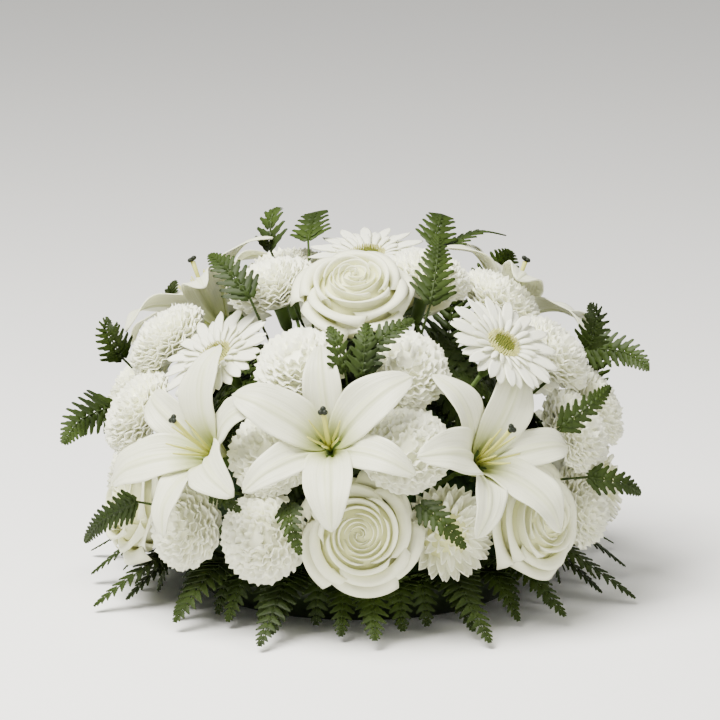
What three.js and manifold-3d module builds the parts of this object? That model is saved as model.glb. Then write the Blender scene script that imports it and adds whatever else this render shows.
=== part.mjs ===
// A round sympathy posy: white lilies, roses, gerberas, chrysanthemums and carnations with
// leatherleaf fern, their stems pushed into a dome of wet foam that fills a shallow dish.
// Millimetres, +Z up. The origin is the centre of the dish's underside, and the front faces -Y.
import * as THREE from "three";
import Module from "manifold-3d";

const wasm = await Module();
wasm.setup();

// The dish and its foam
const DISH_BASE_RADIUS = 112;
const DISH_RIM_RADIUS = 124;
const DISH_HEIGHT = 26;
const DISH_WALL = 2.4;
const FOAM_GAP = 0.3;
const FOAM_SHOULDER_RADIUS = 108;
const FOAM_SHOULDER_HEIGHT = 48;
const FOAM_TOP = 140;

// The dome that the blooms' faces follow: an ellipsoid, wider than it is high
const DOME_RADIUS = 192;
const DOME_RISE = 150;
const DOME_CENTRE_HEIGHT = 106;
const STEM_FOCUS = new THREE.Vector3(0, 0, 30); // every straight stem points at it
const STEM_DEPTH = 24; // how far a stem goes into the foam
const STEM_RADIUS = 2.2;
const FROND_STEM_RADIUS = 1.3;
const HOLE_CLEARANCE = 0.7; // at a stem's corners, and half of that at its flats
const SPRAY_FORK = 0.87; // share of the way from the focus to the heads
const FROND_FORK = 0.64;
const LOWEST_HEAD = 74;
const HEAD_SPACING = 1.5; // the room kept between two heads

// Blooms. azimuth is 0 at the front and grows to the viewer's right, and latitude is the angle
// up the dome, both in degrees. roll turns the face, lean tips it to the right and up, and
// scale sets how far out on the dome it lies, where that isn't its kind's own scale.
const LILIES = [
  { name: "lily_front", azimuth: -8, latitude: 18.5, roll: 38, lean: [0, 0] },
  { name: "lily_left", azimuth: -40, latitude: 12.5, roll: 92, lean: [-8, 0] },
  { name: "lily_right", azimuth: 30, latitude: 11.7, roll: 60, lean: [10, 0] },
  { name: "lily_back_left", azimuth: -112, latitude: 46, roll: 90, lean: [0, 0] },
  { name: "lily_back_right", azimuth: 112, latitude: 46, roll: 30, lean: [0, 0] },
  { name: "lily_back", azimuth: 180, latitude: 16, roll: 90, lean: [0, 0] },
];
const ROSES = [
  { name: "rose_front", azimuth: 1, latitude: -8, roll: 10 },
  { name: "rose_top", azimuth: -4, latitude: 68, roll: 40, lean: [0, -12], scale: 1.04 },
  { name: "rose_right", azimuth: 47, latitude: -10, roll: 70 },
  { name: "rose_left", azimuth: -72, latitude: -13, roll: 20 },
  { name: "rose_back_left", azimuth: -140, latitude: -8, roll: 0 },
  { name: "rose_back", azimuth: 165, latitude: 50, roll: 50 },
];
const GERBERAS = [
  { name: "gerbera_top", azimuth: 180, latitude: 70, roll: 18, lean: [0, 28], scale: 0.9 },
  { name: "gerbera_left", azimuth: -46, latitude: 40, roll: 8, scale: 0.86 },
  { name: "gerbera_right", azimuth: 40, latitude: 40, roll: 0 },
  { name: "gerbera_back", azimuth: -145, latitude: 24, roll: 5 },
];
const CHRYSANTHEMUMS = [
  { name: "chrysanthemum_front", azimuth: 24, latitude: -13, roll: 10, scale: 0.9 },
  { name: "chrysanthemum_right", azimuth: 92, latitude: -8, roll: 5 },
  { name: "chrysanthemum_back", azimuth: 180, latitude: -16, roll: 10 },
];
// Carnations come as sprays of one to three heads on one forked stem. A head is its azimuth,
// its latitude and, where it isn't its kind's own, its scale.
const CARNATIONS = [
  { name: "carnations_low_left", heads: [[-47, -15], [-23, -16], [-23, 2, 0.85]] },
  { name: "carnations_middle", heads: [[11, 15, 0.91], [18, 39, 0.9]] },
  { name: "carnations_upper_left", heads: [[-26, 41, 0.9], [-57, 66]] },
  { name: "carnations_top_right", heads: [[62, 70], [82, 52, 0.93]] },
  { name: "carnations_right", heads: [[68, 34], [62, 10]] },
  { name: "carnations_low_right", heads: [[70, -16], [86, 14]] },
  { name: "carnations_left", heads: [[-72, 8], [-77, 32]] },
  { name: "carnations_back_left", heads: [[-108, 10], [-103, -16]] },
  { name: "carnations_back", heads: [[-162, -14], [-170, 38, 0.93]] },
  { name: "carnation_back_top", heads: [[-146, 58, 0.92]] },
  { name: "carnations_back_right", heads: [[146, -14], [122, -12], [132, 16]] },
];

// The size of each kind of head: face radius, depth from face to the base of its calyx, the
// share of the dome's size that its face lies at, and the radius that nothing else may enter.
const KINDS = {
  lily: { radius: 72, depth: 58, scale: 0.97, room: 20 },
  rose: { radius: 33, depth: 50, scale: 0.99, room: 39 },
  gerbera: { radius: 44, depth: 34, scale: 0.97, room: 40 },
  chrysanthemum: { radius: 35, depth: 34, scale: 0.98, room: 34 },
  carnation: { radius: 33, depth: 46, scale: 0.95, room: 31 },
};

// The face of a pinna that stands out from the posy's side: it looks to the front and up.
const FRONTWARD = new THREE.Vector3(0, -0.9, 0.45);

// Fern fronds among the heads. Each forks below them from one stem. A pinna has the [azimuth,
// latitude, scale] of its base and its tip, its half width and its pairs of leaflets.
const FRONDS = [
  {
    name: "fern_top_left",
    pinnae: [
      { base: [-112, 68, 0.96], tip: [-128, 70, 1.14], width: 12, pairs: 4 },
      { base: [-160, 72, 0.96], tip: [-175, 60, 1.14], width: 12, pairs: 4 },
    ],
  },
  {
    name: "fern_top_right",
    pinnae: [
      { base: [135, 70, 0.96], tip: [150, 62, 1.13], width: 12, pairs: 4 },
      { base: [128, 65, 0.96], tip: [123, 54, 1.12], width: 11, pairs: 4 },
    ],
  },
  {
    name: "fern_upper_left",
    pinnae: [{ base: [-45, 54, 0.98], tip: [-70, 58, 1.12], width: 12, pairs: 4 }],
  },
  {
    name: "fern_centre",
    pinnae: [
      { base: [-3, 36, 0.94], tip: [-8, 47, 1.02], width: 8, pairs: 4 },
      { base: [3, 36, 0.94], tip: [5, 50, 1.02], width: 10, pairs: 4 },
      { base: [8, 38, 0.95], tip: [24, 46, 1.07], width: 11, pairs: 4 },
    ],
  },
  {
    name: "fern_upper_right",
    pinnae: [{ base: [28, 55, 0.97], tip: [50, 70, 1.12], width: 13, pairs: 4 }],
  },
  {
    name: "fern_right",
    pinnae: [
      { base: [82, 30, 0.98], tip: [73, 40, 1.14], width: 10, pairs: 4, face: FRONTWARD },
      { base: [88, 26, 0.96], tip: [80, 18, 1.17], width: 12, pairs: 4, face: FRONTWARD },
    ],
  },
  {
    name: "fern_side_right",
    pinnae: [{ base: [109, 8, 0.9], tip: [106, 28, 1.07], width: 22, pairs: 5 }],
  },
  {
    name: "fern_low_right",
    pinnae: [
      { base: [54, 13, 0.96], tip: [66, 20, 1.1], width: 9, pairs: 4 },
      { base: [60, 1, 0.98], tip: [70, -5, 1.12], width: 9, pairs: 4, face: FRONTWARD },
    ],
  },
  {
    name: "fern_left",
    pinnae: [
      { base: [-90, 24, 0.97], tip: [-78, 34, 1.14], width: 11, pairs: 4, face: FRONTWARD },
      { base: [-90, 10, 0.93], tip: [-79, 2, 1.12], width: 14, pairs: 4, face: FRONTWARD },
    ],
  },
  {
    name: "fern_low_left",
    pinnae: [{ base: [-57, -9, 0.98], tip: [-74, -22, 1.14], width: 10, pairs: 4, face: FRONTWARD }],
  },
  {
    name: "fern_middle_left",
    pinnae: [
      { base: [-33, 1, 0.96], tip: [-24, -3, 1.05], width: 8, pairs: 4 },
      { base: [-16, -2, 0.96], tip: [-12, -13, 1.08], width: 8, pairs: 4 },
    ],
  },
  {
    name: "fern_middle_right",
    pinnae: [{ base: [13, -2, 0.96], tip: [21, -12, 1.08], width: 9, pairs: 4 }],
  },
  {
    name: "fern_back_right",
    pinnae: [
      { base: [157, 14, 0.9], tip: [157, 30, 1.05], width: 20, pairs: 5 },
      { base: [140, 36, 0.93], tip: [131, 46, 1.1], width: 14, pairs: 4 },
    ],
  },
  {
    name: "fern_back_left",
    pinnae: [{ base: [-124, 22, 0.92], tip: [-122, 38, 1.06], width: 14, pairs: 4 }],
  },
];
const FROND_ROOM = 5;
const LEAFLET_SWEEP = 0.3;
const LEAFLET_WEB = 0.22;
const PINNA_ARCH = 7; // how far a pinna bows out between its base and tip
const PINNA_HALF_THICKNESS = 0.7;
const STALK_NECK = 3; // where a stalk starts to narrow before the pinna

// The skirt under the lowest blooms: fronds of two pinnae that fork from one stem, arch over
// the dish's rim and hang to just above the floor. Its pinnae stand evenly round the posy.
const SKIRT_FRONDS = 8;
const SKIRT_FIRST_AZIMUTH = -8;
const SKIRT_FORK = { radius: 111, height: 35 };
const SKIRT_BEND = { radius: 152, height: 38 };
const SKIRT_ROOT = { radius: 121, height: 37 };
const SKIRT_TIPS = [
  // [tip radius, tip height] of the left pinna and of the right one
  [209, 5],
  [194, 8],
];
const SKIRT_HALF_WIDTH = 29;
const SKIRT_PAIRS = 4;
const SKIRT_SWEEP = 0.4;
const SKIRT_WEB = 0.45;

const DEGREE = Math.PI / 180;
const UP = new THREE.Vector3(0, 0, 1);

// A point on the dome, scaled about the dome's centre.
function domePoint(azimuth, latitude, scale) {
  const a = azimuth * DEGREE;
  const l = latitude * DEGREE;
  const reach = scale * DOME_RADIUS * Math.cos(l);
  return new THREE.Vector3(
    reach * Math.sin(a),
    -reach * Math.cos(a),
    DOME_CENTRE_HEIGHT + scale * DOME_RISE * Math.sin(l),
  );
}

// Puts a point back on the dome of that scale, along the line from the dome's centre.
function ontoDome(point, scale) {
  const fromCentre = point.clone().setZ(point.z - DOME_CENTRE_HEIGHT);
  const stretched = Math.hypot(
    fromCentre.x / DOME_RADIUS,
    fromCentre.y / DOME_RADIUS,
    fromCentre.z / DOME_RISE,
  );
  fromCentre.multiplyScalar(scale / stretched);
  return fromCentre.setZ(fromCentre.z + DOME_CENTRE_HEIGHT);
}

// Pushes crowded heads apart until each keeps its own room.
function spreadHeads(heads) {
  for (let round = 0; round < 400; round++) {
    for (let i = 0; i < heads.length; i++) {
      for (let j = i + 1; j < heads.length; j++) {
        const away = heads[j].place.clone().sub(heads[i].place);
        const wanted = heads[i].room + heads[j].room + HEAD_SPACING;
        const short = wanted - away.length();
        if (short <= 0) continue;
        away.setLength(short * 0.3);
        heads[j].place.add(away);
        heads[i].place.sub(away);
      }
    }
    for (const head of heads) {
      head.place.z = Math.max(head.place.z, LOWEST_HEAD);
      head.place = ontoDome(head.place, head.scale);
    }
  }
}

// The turn that sets local +Z along the stem outwards and local +Y up the dome.
function headTurn(place) {
  const out = place.clone().sub(STEM_FOCUS).normalize();
  const across = new THREE.Vector3().crossVectors(UP, out);
  if (across.length() < 0.05) across.set(1, 0, 0);
  across.normalize();
  const along = new THREE.Vector3().crossVectors(out, across);
  return new THREE.Matrix4().makeBasis(across, along, out);
}

// A closed solid from vertices and triangles.
function closedSolid(vertices, triangles) {
  return new wasm.Manifold(
    new wasm.Mesh({
      numProp: 3,
      vertProperties: new Float32Array(vertices.flatMap((v) => [v.x, v.y, v.z])),
      triVerts: new Uint32Array(triangles.flat()),
    }),
  );
}

function turned(solid, matrix) {
  return solid.transform(matrix.elements);
}

function joined(solids) {
  return solids.reduce((all, one) => all.add(one));
}

// Rings of equal length, counter-clockwise and from the bottom up, closed by a point at each end.
function ringSolid(bottom, rings, top) {
  const count = rings[0].length;
  const vertices = [bottom, ...rings.flat(), top];
  const at = (ring, step) => 1 + ring * count + (step % count);
  const triangles = [];
  for (let s = 0; s < count; s++) {
    triangles.push([0, at(0, s + 1), at(0, s)]);
    for (let r = 0; r + 1 < rings.length; r++) {
      triangles.push([at(r, s), at(r, s + 1), at(r + 1, s + 1)]);
      triangles.push([at(r, s), at(r + 1, s + 1), at(r + 1, s)]);
    }
    triangles.push([at(rings.length - 1, s), at(rings.length - 1, s + 1), vertices.length - 1]);
  }
  return closedSolid(vertices, triangles);
}

// A ring of points. teeth pulls every second point in, and lift raises it.
function ring(radius, height, count, { teeth = 0, lift = 0, phase = 0 } = {}) {
  return Array.from({ length: count }, (_, i) => {
    const angle = ((i + phase) / count) * 2 * Math.PI;
    const inner = i % 2;
    const r = radius - inner * teeth;
    return new THREE.Vector3(r * Math.cos(angle), r * Math.sin(angle), height + inner * lift);
  });
}

// A leaf or petal with sharp edges: stations along its midline, each with its half width,
// half thickness and the rise of its edges, then a tip. Both faces are split alike.
function blade(stations, tip) {
  const vertices = stations.flatMap((s) => [
    s.at.clone().addScaledVector(s.side, s.width).addScaledVector(s.up, s.cup),
    s.at.clone().addScaledVector(s.up, s.thick),
    s.at.clone().addScaledVector(s.side, -s.width).addScaledVector(s.up, s.cup),
    s.at.clone().addScaledVector(s.up, -s.thick),
  ]);
  const end = vertices.push(tip) - 1;
  const triangles = [
    [0, 2, 1],
    [0, 3, 2],
  ];
  for (let i = 0; i + 1 < stations.length; i++) {
    const [r, t, l, b, r2, t2, l2, b2] = [0, 1, 2, 3, 4, 5, 6, 7].map((k) => 4 * i + k);
    triangles.push([r, t, t2], [r, t2, r2], [t, l, t2], [l, l2, t2]);
    triangles.push([l, b, b2], [l, b2, l2], [b, r, b2], [r, r2, b2]);
  }
  const [r, t, l, b] = [4, 3, 2, 1].map((k) => end - k);
  triangles.push([r, t, end], [t, l, end], [l, b, end], [b, r, end]);
  return closedSolid(vertices, triangles);
}

// A three-sided stem along points. Its last point closes it.
function stalk(points, radius) {
  const rings = points.slice(0, -1).map((point, i) => {
    const ahead = points[i + 1].clone().sub(i ? points[i - 1] : point).normalize();
    const helper = Math.abs(ahead.z) < 0.8 ? UP : new THREE.Vector3(1, 0, 0);
    const side = new THREE.Vector3().crossVectors(helper, ahead).normalize();
    const up = new THREE.Vector3().crossVectors(ahead, side);
    return [0, 120, 240].map((turn) => {
      const angle = turn * DEGREE;
      return point
        .clone()
        .addScaledVector(side, radius * Math.cos(angle))
        .addScaledVector(up, radius * Math.sin(angle));
    });
  });
  return ringSolid(points[0], rings, points.at(-1));
}

// Lily: a funnel, three broad inner tepals over three narrower outer ones
const TEPAL_STATIONS = [0, 0.3, 0.58, 0.84];
const INNER_TEPAL = {
  midline: [[6, -33], [16, -14], [34, -1], [54, 3], [73, -5]],
  halfWidth: 17,
};
const OUTER_TEPAL = {
  midline: [[6, -38], [15, -20], [32, -6], [52, -2], [70, -11]],
  halfWidth: 13,
};
const TEPAL_HALF_THICKNESS = 0.9;

function tepalHalfWidth(share, full) {
  return Math.max(2.5, full * Math.sin(Math.PI * share ** 0.95) ** 0.8);
}

function tepal(shape, angle) {
  const line = new THREE.SplineCurve(shape.midline.map(([x, y]) => new THREE.Vector2(x, y)));
  const turn = new THREE.Matrix4().makeRotationZ(angle);
  const stations = TEPAL_STATIONS.map((share) => {
    const p = line.getPoint(share);
    const t = line.getTangent(share);
    return {
      at: new THREE.Vector3(p.x, 0, p.y).applyMatrix4(turn),
      side: new THREE.Vector3(0, 1, 0).applyMatrix4(turn),
      up: new THREE.Vector3(-t.y, 0, t.x).applyMatrix4(turn),
      width: tepalHalfWidth(share, shape.halfWidth),
      thick: TEPAL_HALF_THICKNESS,
      cup: 4.5 * (1 - share) ** 0.5 - 1.5 * share,
    };
  });
  const end = line.getPoint(1);
  return blade(stations, new THREE.Vector3(end.x, 0, end.y).applyMatrix4(turn));
}

function lilyHead(roll) {
  const funnel = ringSolid(
    new THREE.Vector3(0, 0, -KINDS.lily.depth),
    [ring(8.5, -28, 6)],
    new THREE.Vector3(0, 0, -36),
  );
  const tepals = [0, 1, 2].flatMap((k) => [
    tepal(OUTER_TEPAL, (roll + 60 + 120 * k) * DEGREE),
    tepal(INNER_TEPAL, (roll + 120 * k) * DEGREE),
  ]);
  return joined([funnel, ...tepals]);
}

// The lily's pistil, with its dark stigma, and the filaments round its root
const PISTIL_SIDES = 6;
const PISTIL_RINGS = [
  // [radius, lean towards +Y, height]
  [3.2, 0, -32],
  [1.3, 2, -12],
  [1.3, 8, 12.5],
  [3.6, 9, 15.5],
];

function lilyPistil() {
  const rings = PISTIL_RINGS.map(([radius, lean, height]) =>
    ring(radius, height, PISTIL_SIDES).map((point) => point.setY(point.y + lean)),
  );
  const style = ringSolid(
    new THREE.Vector3(0, 0, -35.6),
    rings,
    new THREE.Vector3(0, 10, 17.5),
  );
  const filaments = [0, 1, 2, 3, 4, 5].map((k) => {
    const angle = ((k + 0.5) / 6) * 2 * Math.PI;
    const out = (r, z) => new THREE.Vector3(r * Math.cos(angle), r * Math.sin(angle), z);
    return stalk([out(1, -30), out(13, 5)], 0.9);
  });
  return joined([style, ...filaments]);
}

// Rose: five reflexed outer petals round a cup of turned rims, one inside the other
const ROSE_SIDES = 8;
const ROSE_RIMS = [
  // [rim radius, rim height, groove radius, groove height]
  [32, -5, 25, -11],
  [22, -1, 14, -7],
  [11, 1.5, 0, 0],
];

function roseHead(roll) {
  const rings = [ring(7, -48, ROSE_SIDES), ring(28, -26, ROSE_SIDES)];
  ROSE_RIMS.forEach(([rim, height, groove, low], i) => {
    const phase = 0.5 * i;
    rings.push(ring(rim, height, ROSE_SIDES, { teeth: rim * 0.09, lift: -1.5, phase }));
    if (groove) rings.push(ring(groove, low, ROSE_SIDES, { phase: phase + 0.25 }));
  });
  const cup = ringSolid(
    new THREE.Vector3(0, 0, -KINDS.rose.depth),
    rings,
    new THREE.Vector3(0, 0, -3),
  );
  const outer = [0, 1, 2, 3, 4].map((k) => rosePetal((roll + 72 * k) * DEGREE, k % 2));
  return joined([turned(cup, new THREE.Matrix4().makeRotationZ(roll * DEGREE)), ...outer]);
}

function rosePetal(angle, low) {
  const turn = new THREE.Matrix4().makeRotationZ(angle);
  const drop = 2.5 * low;
  const line = [
    { r: 8, z: -43, width: 6, cup: 2 },
    { r: 33, z: -25 - drop, width: 22, cup: 5 },
    { r: 38, z: -13 - drop, width: 19, cup: 2 },
  ];
  const stations = line.map((s, i) => {
    const next = line[i + 1] ?? { r: s.r + 4, z: s.z + 1 };
    const slope = new THREE.Vector2(next.r - s.r, next.z - s.z).normalize();
    return {
      at: new THREE.Vector3(s.r, 0, s.z).applyMatrix4(turn),
      side: new THREE.Vector3(0, 1, 0).applyMatrix4(turn),
      up: new THREE.Vector3(-slope.y, 0, slope.x).applyMatrix4(turn),
      width: s.width,
      thick: 0.8,
      cup: s.cup,
    };
  });
  return blade(stations, new THREE.Vector3(43, 0, -12 - drop).applyMatrix4(turn));
}

// Carnation: tiers of toothed, ruffled petals over a long calyx
const CARNATION_SIDES = 12;

function carnationHead(roll) {
  const n = CARNATION_SIDES;
  const rings = [
    ring(9, -24, n),
    ring(KINDS.carnation.radius - 2, -12, n, { teeth: 4, lift: 2.5 }),
    ring(23, -7, n),
    ring(27, 0, n, { teeth: 5, lift: 2, phase: 1 }),
    ring(14, 5, n, { teeth: 6, lift: -4 }),
  ];
  const head = ringSolid(
    new THREE.Vector3(0, 0, -KINDS.carnation.depth),
    rings,
    new THREE.Vector3(0, 0, 3),
  );
  return turned(head, new THREE.Matrix4().makeRotationZ(roll * DEGREE));
}

// Chrysanthemum: tiers of narrow petals, the longest at the back
const CHRYSANTHEMUM_PETALS = 11;

function chrysanthemumHead(roll) {
  const n = 2 * CHRYSANTHEMUM_PETALS;
  const rings = [
    ring(11, -22, n),
    ring(KINDS.chrysanthemum.radius, -13, n, { teeth: 13, lift: 1 }),
    ring(20, -8, n),
    ring(30, -4, n, { teeth: 12, lift: 0.5, phase: 1 }),
    ring(14, -2, n),
    ring(21, 3, n, { teeth: 9, lift: 0 }),
    ring(7, 2, n),
  ];
  const head = ringSolid(
    new THREE.Vector3(0, 0, -KINDS.chrysanthemum.depth),
    rings,
    new THREE.Vector3(0, 0, 5),
  );
  return turned(head, new THREE.Matrix4().makeRotationZ(roll * DEGREE));
}

// Gerbera: one wheel of long rays round a raised disc
const GERBERA_RAYS = 14;

function gerberaHead(roll) {
  const n = 2 * GERBERA_RAYS;
  const wheel = ringSolid(
    new THREE.Vector3(0, 0, -12),
    [
      ring(12, -6, n),
      ring(KINDS.gerbera.radius, 2, n, { teeth: 15, lift: -2.5 }),
      ring(11, -2, n),
      ring(8.5, 2, n),
    ],
    new THREE.Vector3(0, 0, 1),
  );
  const calyx = ringSolid(
    new THREE.Vector3(0, 0, -KINDS.gerbera.depth),
    [ring(3, -33, 6), ring(9, -10, 6)],
    new THREE.Vector3(0, 0, -5),
  );
  return joined([turned(wheel, new THREE.Matrix4().makeRotationZ(roll * DEGREE)), calyx]);
}

// A fern leaf: a thin arched blade along a midline, cut to the rib into pairs of leaflets
// that shorten to the tip. out is the way its upper face looks, sweep leans the leaflets, and
// web is the share of their length over which they are one.
function fernBlade(midline, out, halfWidth, pairs, sweep, web) {
  const vertices = [];
  const triangles = [];
  const step = 1 / (pairs + 0.7);
  const add = (point) => vertices.push(point) - 1;
  const rows = Array.from({ length: pairs + 1 }, (_, i) => {
    const share = i * step;
    const at = midline.getPoint(share);
    const ahead = midline.getTangent(share);
    const side = new THREE.Vector3().crossVectors(ahead, out).normalize();
    const up = new THREE.Vector3().crossVectors(side, ahead);
    const reach = halfWidth * (1 - share) ** 0.7;
    const put = (across, along, rise) =>
      add(
        at
          .clone()
          .addScaledVector(side, across)
          .addScaledVector(ahead, along)
          .addScaledVector(up, rise),
      );
    const t = PINNA_HALF_THICKNESS;
    const row = { top: put(0, 0, t), bottom: put(0, 0, -t) };
    for (const hand of [1, -1]) {
      row[hand] = {
        notchTop: put(hand * reach * web, 0, t * 0.6),
        notchBottom: put(hand * reach * web, 0, -t * 0.6),
        tip: i < pairs ? put(hand * reach, midline.getLength() * step * 0.6 + sweep * reach, -1) : null,
      };
    }
    return row;
  });
  const face = (hand, ...corners) => {
    triangles.push(hand > 0 ? corners : [corners[0], corners[2], corners[1]]);
  };
  for (const hand of [1, -1]) {
    for (let i = 0; i < pairs; i++) {
      const [a, b] = [rows[i], rows[i + 1]];
      const [p, q] = [a[hand], b[hand]];
      face(hand, a.top, p.notchTop, q.notchTop);
      face(hand, a.top, q.notchTop, b.top);
      face(hand, p.notchTop, p.tip, q.notchTop);
      face(hand, a.bottom, q.notchBottom, p.notchBottom);
      face(hand, a.bottom, b.bottom, q.notchBottom);
      face(hand, p.notchBottom, q.notchBottom, p.tip);
      face(hand, p.notchTop, p.notchBottom, p.tip);
      face(hand, q.notchBottom, q.notchTop, p.tip);
    }
    const first = rows[0];
    face(hand, first.top, first.bottom, first[hand].notchBottom);
    face(hand, first.top, first[hand].notchBottom, first[hand].notchTop);
  }
  const last = rows[pairs];
  const end = add(midline.getPoint(1));
  for (const hand of [1, -1]) {
    const q = last[hand];
    face(hand, last.top, q.notchTop, end);
    face(hand, q.notchTop, q.notchBottom, end);
    face(hand, q.notchBottom, last.bottom, end);
  }
  return closedSolid(vertices, triangles);
}

const HEAD_MAKERS = {
  lily: lilyHead,
  rose: roseHead,
  gerbera: gerberaHead,
  chrysanthemum: chrysanthemumHead,
  carnation: carnationHead,
};

// Where the straight line from the stem focus to a point leaves the foam.
function foamRadiusAlong(direction) {
  const flat = Math.hypot(direction.x, direction.y);
  let best = 0;
  for (let reach = 20; reach < 130; reach += 0.5) {
    const z = STEM_FOCUS.z + direction.z * reach;
    if (flat * reach < foamRadiusAt(z)) best = reach;
  }
  return best;
}

// The foam's radius at a height: straight to its shoulder, then a quarter of an ellipse.
function foamRadiusAt(z) {
  if (z < FOAM_SHOULDER_HEIGHT) return FOAM_SHOULDER_RADIUS;
  const share = (z - FOAM_SHOULDER_HEIGHT) / (FOAM_TOP - FOAM_SHOULDER_HEIGHT);
  return share >= 1 ? 0 : FOAM_SHOULDER_RADIUS * Math.sqrt(1 - share * share);
}

function tray() {
  const profile = [
    [0, 0],
    [DISH_BASE_RADIUS, 0],
    [DISH_RIM_RADIUS - 3, DISH_HEIGHT * 0.55],
    [DISH_RIM_RADIUS, DISH_HEIGHT],
    [DISH_RIM_RADIUS - DISH_WALL, DISH_HEIGHT],
    [DISH_RIM_RADIUS - 3 - DISH_WALL, DISH_HEIGHT * 0.55],
    [DISH_BASE_RADIUS - 1, DISH_WALL],
    [0, DISH_WALL],
  ].map(([x, y]) => new THREE.Vector2(x, y));
  return new THREE.LatheGeometry(profile, 24).rotateX(90 * DEGREE);
}

const material = {
  dish: new THREE.MeshStandardMaterial({ color: 0x16220f, roughness: 0.45 }),
  foam: new THREE.MeshStandardMaterial({ color: 0x2a3d1c, roughness: 1 }),
  lily: new THREE.MeshStandardMaterial({ color: 0xf4f4ec, roughness: 0.5 }),
  rose: new THREE.MeshStandardMaterial({ color: 0xf2f0de, roughness: 0.55 }),
  gerbera: new THREE.MeshStandardMaterial({ color: 0xf1f1ea, roughness: 0.6 }),
  chrysanthemum: new THREE.MeshStandardMaterial({ color: 0xf2f2e8, roughness: 0.6 }),
  carnation: new THREE.MeshStandardMaterial({ color: 0xefefe6, roughness: 0.7 }),
  pistil: new THREE.MeshStandardMaterial({ color: 0xc9c98a, roughness: 0.6 }),
  fern: new THREE.MeshStandardMaterial({ color: 0x3c5a22, roughness: 0.7 }),
};

const posy = new THREE.Group();

function addMesh(name, solid, finish) {
  const mesh = solid.getMesh();
  const geometry = new THREE.BufferGeometry();
  geometry.setAttribute("position", new THREE.BufferAttribute(mesh.vertProperties, 3));
  geometry.setIndex(new THREE.BufferAttribute(mesh.triVerts, 1));
  const made = new THREE.Mesh(geometry, finish);
  made.name = name;
  posy.add(made);
}

// Every head, in the order of the lists above
const singles = [
  ...LILIES.map((b) => ({ ...b, kind: KINDS.lily, maker: "lily" })),
  ...ROSES.map((b) => ({ ...b, kind: KINDS.rose, maker: "rose" })),
  ...GERBERAS.map((b) => ({ ...b, kind: KINDS.gerbera, maker: "gerbera" })),
  ...CHRYSANTHEMUMS.map((b) => ({ ...b, kind: KINDS.chrysanthemum, maker: "chrysanthemum" })),
];
const sprays = CARNATIONS.map((spray) => ({
  name: spray.name,
  heads: spray.heads.map(([azimuth, latitude, scale], i) => ({
    azimuth,
    latitude,
    scale,
    roll: 17 * i,
    kind: KINDS.carnation,
    maker: "carnation",
  })),
}));
const allHeads = [...singles, ...sprays.flatMap((spray) => spray.heads)];
for (const head of allHeads) {
  head.scale ??= head.kind.scale;
  head.room = head.kind.room;
  head.place = domePoint(head.azimuth, head.latitude, head.scale);
}
const pinnae = FRONDS.flatMap((frond) => frond.pinnae);
for (const pinna of pinnae) {
  pinna.scale = pinna.base[2];
  pinna.room = FROND_ROOM;
  pinna.start = domePoint(...pinna.base);
  pinna.place = pinna.start.clone();
}
spreadHeads([...allHeads, ...pinnae]);

// The head in the part's frame, leaned about the base of its calyx.
function placedHead(head) {
  const turn = headTurn(head.place);
  const base = new THREE.Vector3(0, 0, -head.kind.depth);
  const [right, up] = head.lean ?? [0, 0];
  const lean = new THREE.Matrix4()
    .makeTranslation(base.x, base.y, base.z)
    .multiply(new THREE.Matrix4().makeRotationY(right * DEGREE))
    .multiply(new THREE.Matrix4().makeRotationX(-up * DEGREE))
    .multiply(new THREE.Matrix4().makeTranslation(0, 0, head.kind.depth));
  head.frame = turn.clone().setPosition(head.place).multiply(lean);
  head.base = base.applyMatrix4(turn.setPosition(head.place));
  return turned(HEAD_MAKERS[head.maker](head.roll), head.frame);
}

// The stem end in the foam, on the straight line from a point towards the focus.
function footOf(point) {
  const direction = point.clone().sub(STEM_FOCUS).normalize();
  const reach = foamRadiusAlong(direction) - STEM_DEPTH;
  return STEM_FOCUS.clone().addScaledVector(direction, reach);
}

const holes = [];

// A straight stem from inside a head's base into the foam, and its hole.
function stemInto(from, radius, foot = footOf(from)) {
  const inward = foot.clone().sub(from).normalize();
  const along = (point, reach) => point.clone().addScaledVector(inward, reach);
  const outside = along(foot, -STEM_DEPTH - 8);
  holes.push(stalk([outside, along(foot, -1), along(foot, 1.5)], radius + HOLE_CLEARANCE));
  return stalk([along(from, -6), along(foot, -1), foot], radius);
}

for (const head of singles) {
  const solid = placedHead(head).add(stemInto(head.base, STEM_RADIUS));
  addMesh(head.name, solid, material[head.maker]);
  if (head.maker === "lily") {
    addMesh(head.name + "_pistil", turned(lilyPistil(), head.frame), material.pistil);
  }
}
for (const spray of sprays) {
  const heads = spray.heads.map(placedHead);
  const fork = new THREE.Vector3();
  spray.heads.forEach((head) => fork.add(head.base));
  fork.divideScalar(spray.heads.length).sub(STEM_FOCUS).multiplyScalar(SPRAY_FORK).add(STEM_FOCUS);
  const branches = spray.heads.map((head) => {
    const inward = fork.clone().sub(head.base).normalize();
    const start = head.base.clone().addScaledVector(inward, -6);
    return stalk([start, fork, fork.clone().addScaledVector(inward, 2)], STEM_RADIUS);
  });
  addMesh(spray.name, joined([...heads, ...branches, stemInto(fork, STEM_RADIUS)]), material.carnation);
}

// A stalk from a fork to a pinna. It comes to a point just inside the pinna's root.
function stalkTo(midline, fork) {
  const end = midline.getPoint(0.03);
  const neck = end.clone().add(fork.clone().sub(end).setLength(STALK_NECK));
  return stalk([fork, neck, end], FROND_STEM_RADIUS);
}

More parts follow.
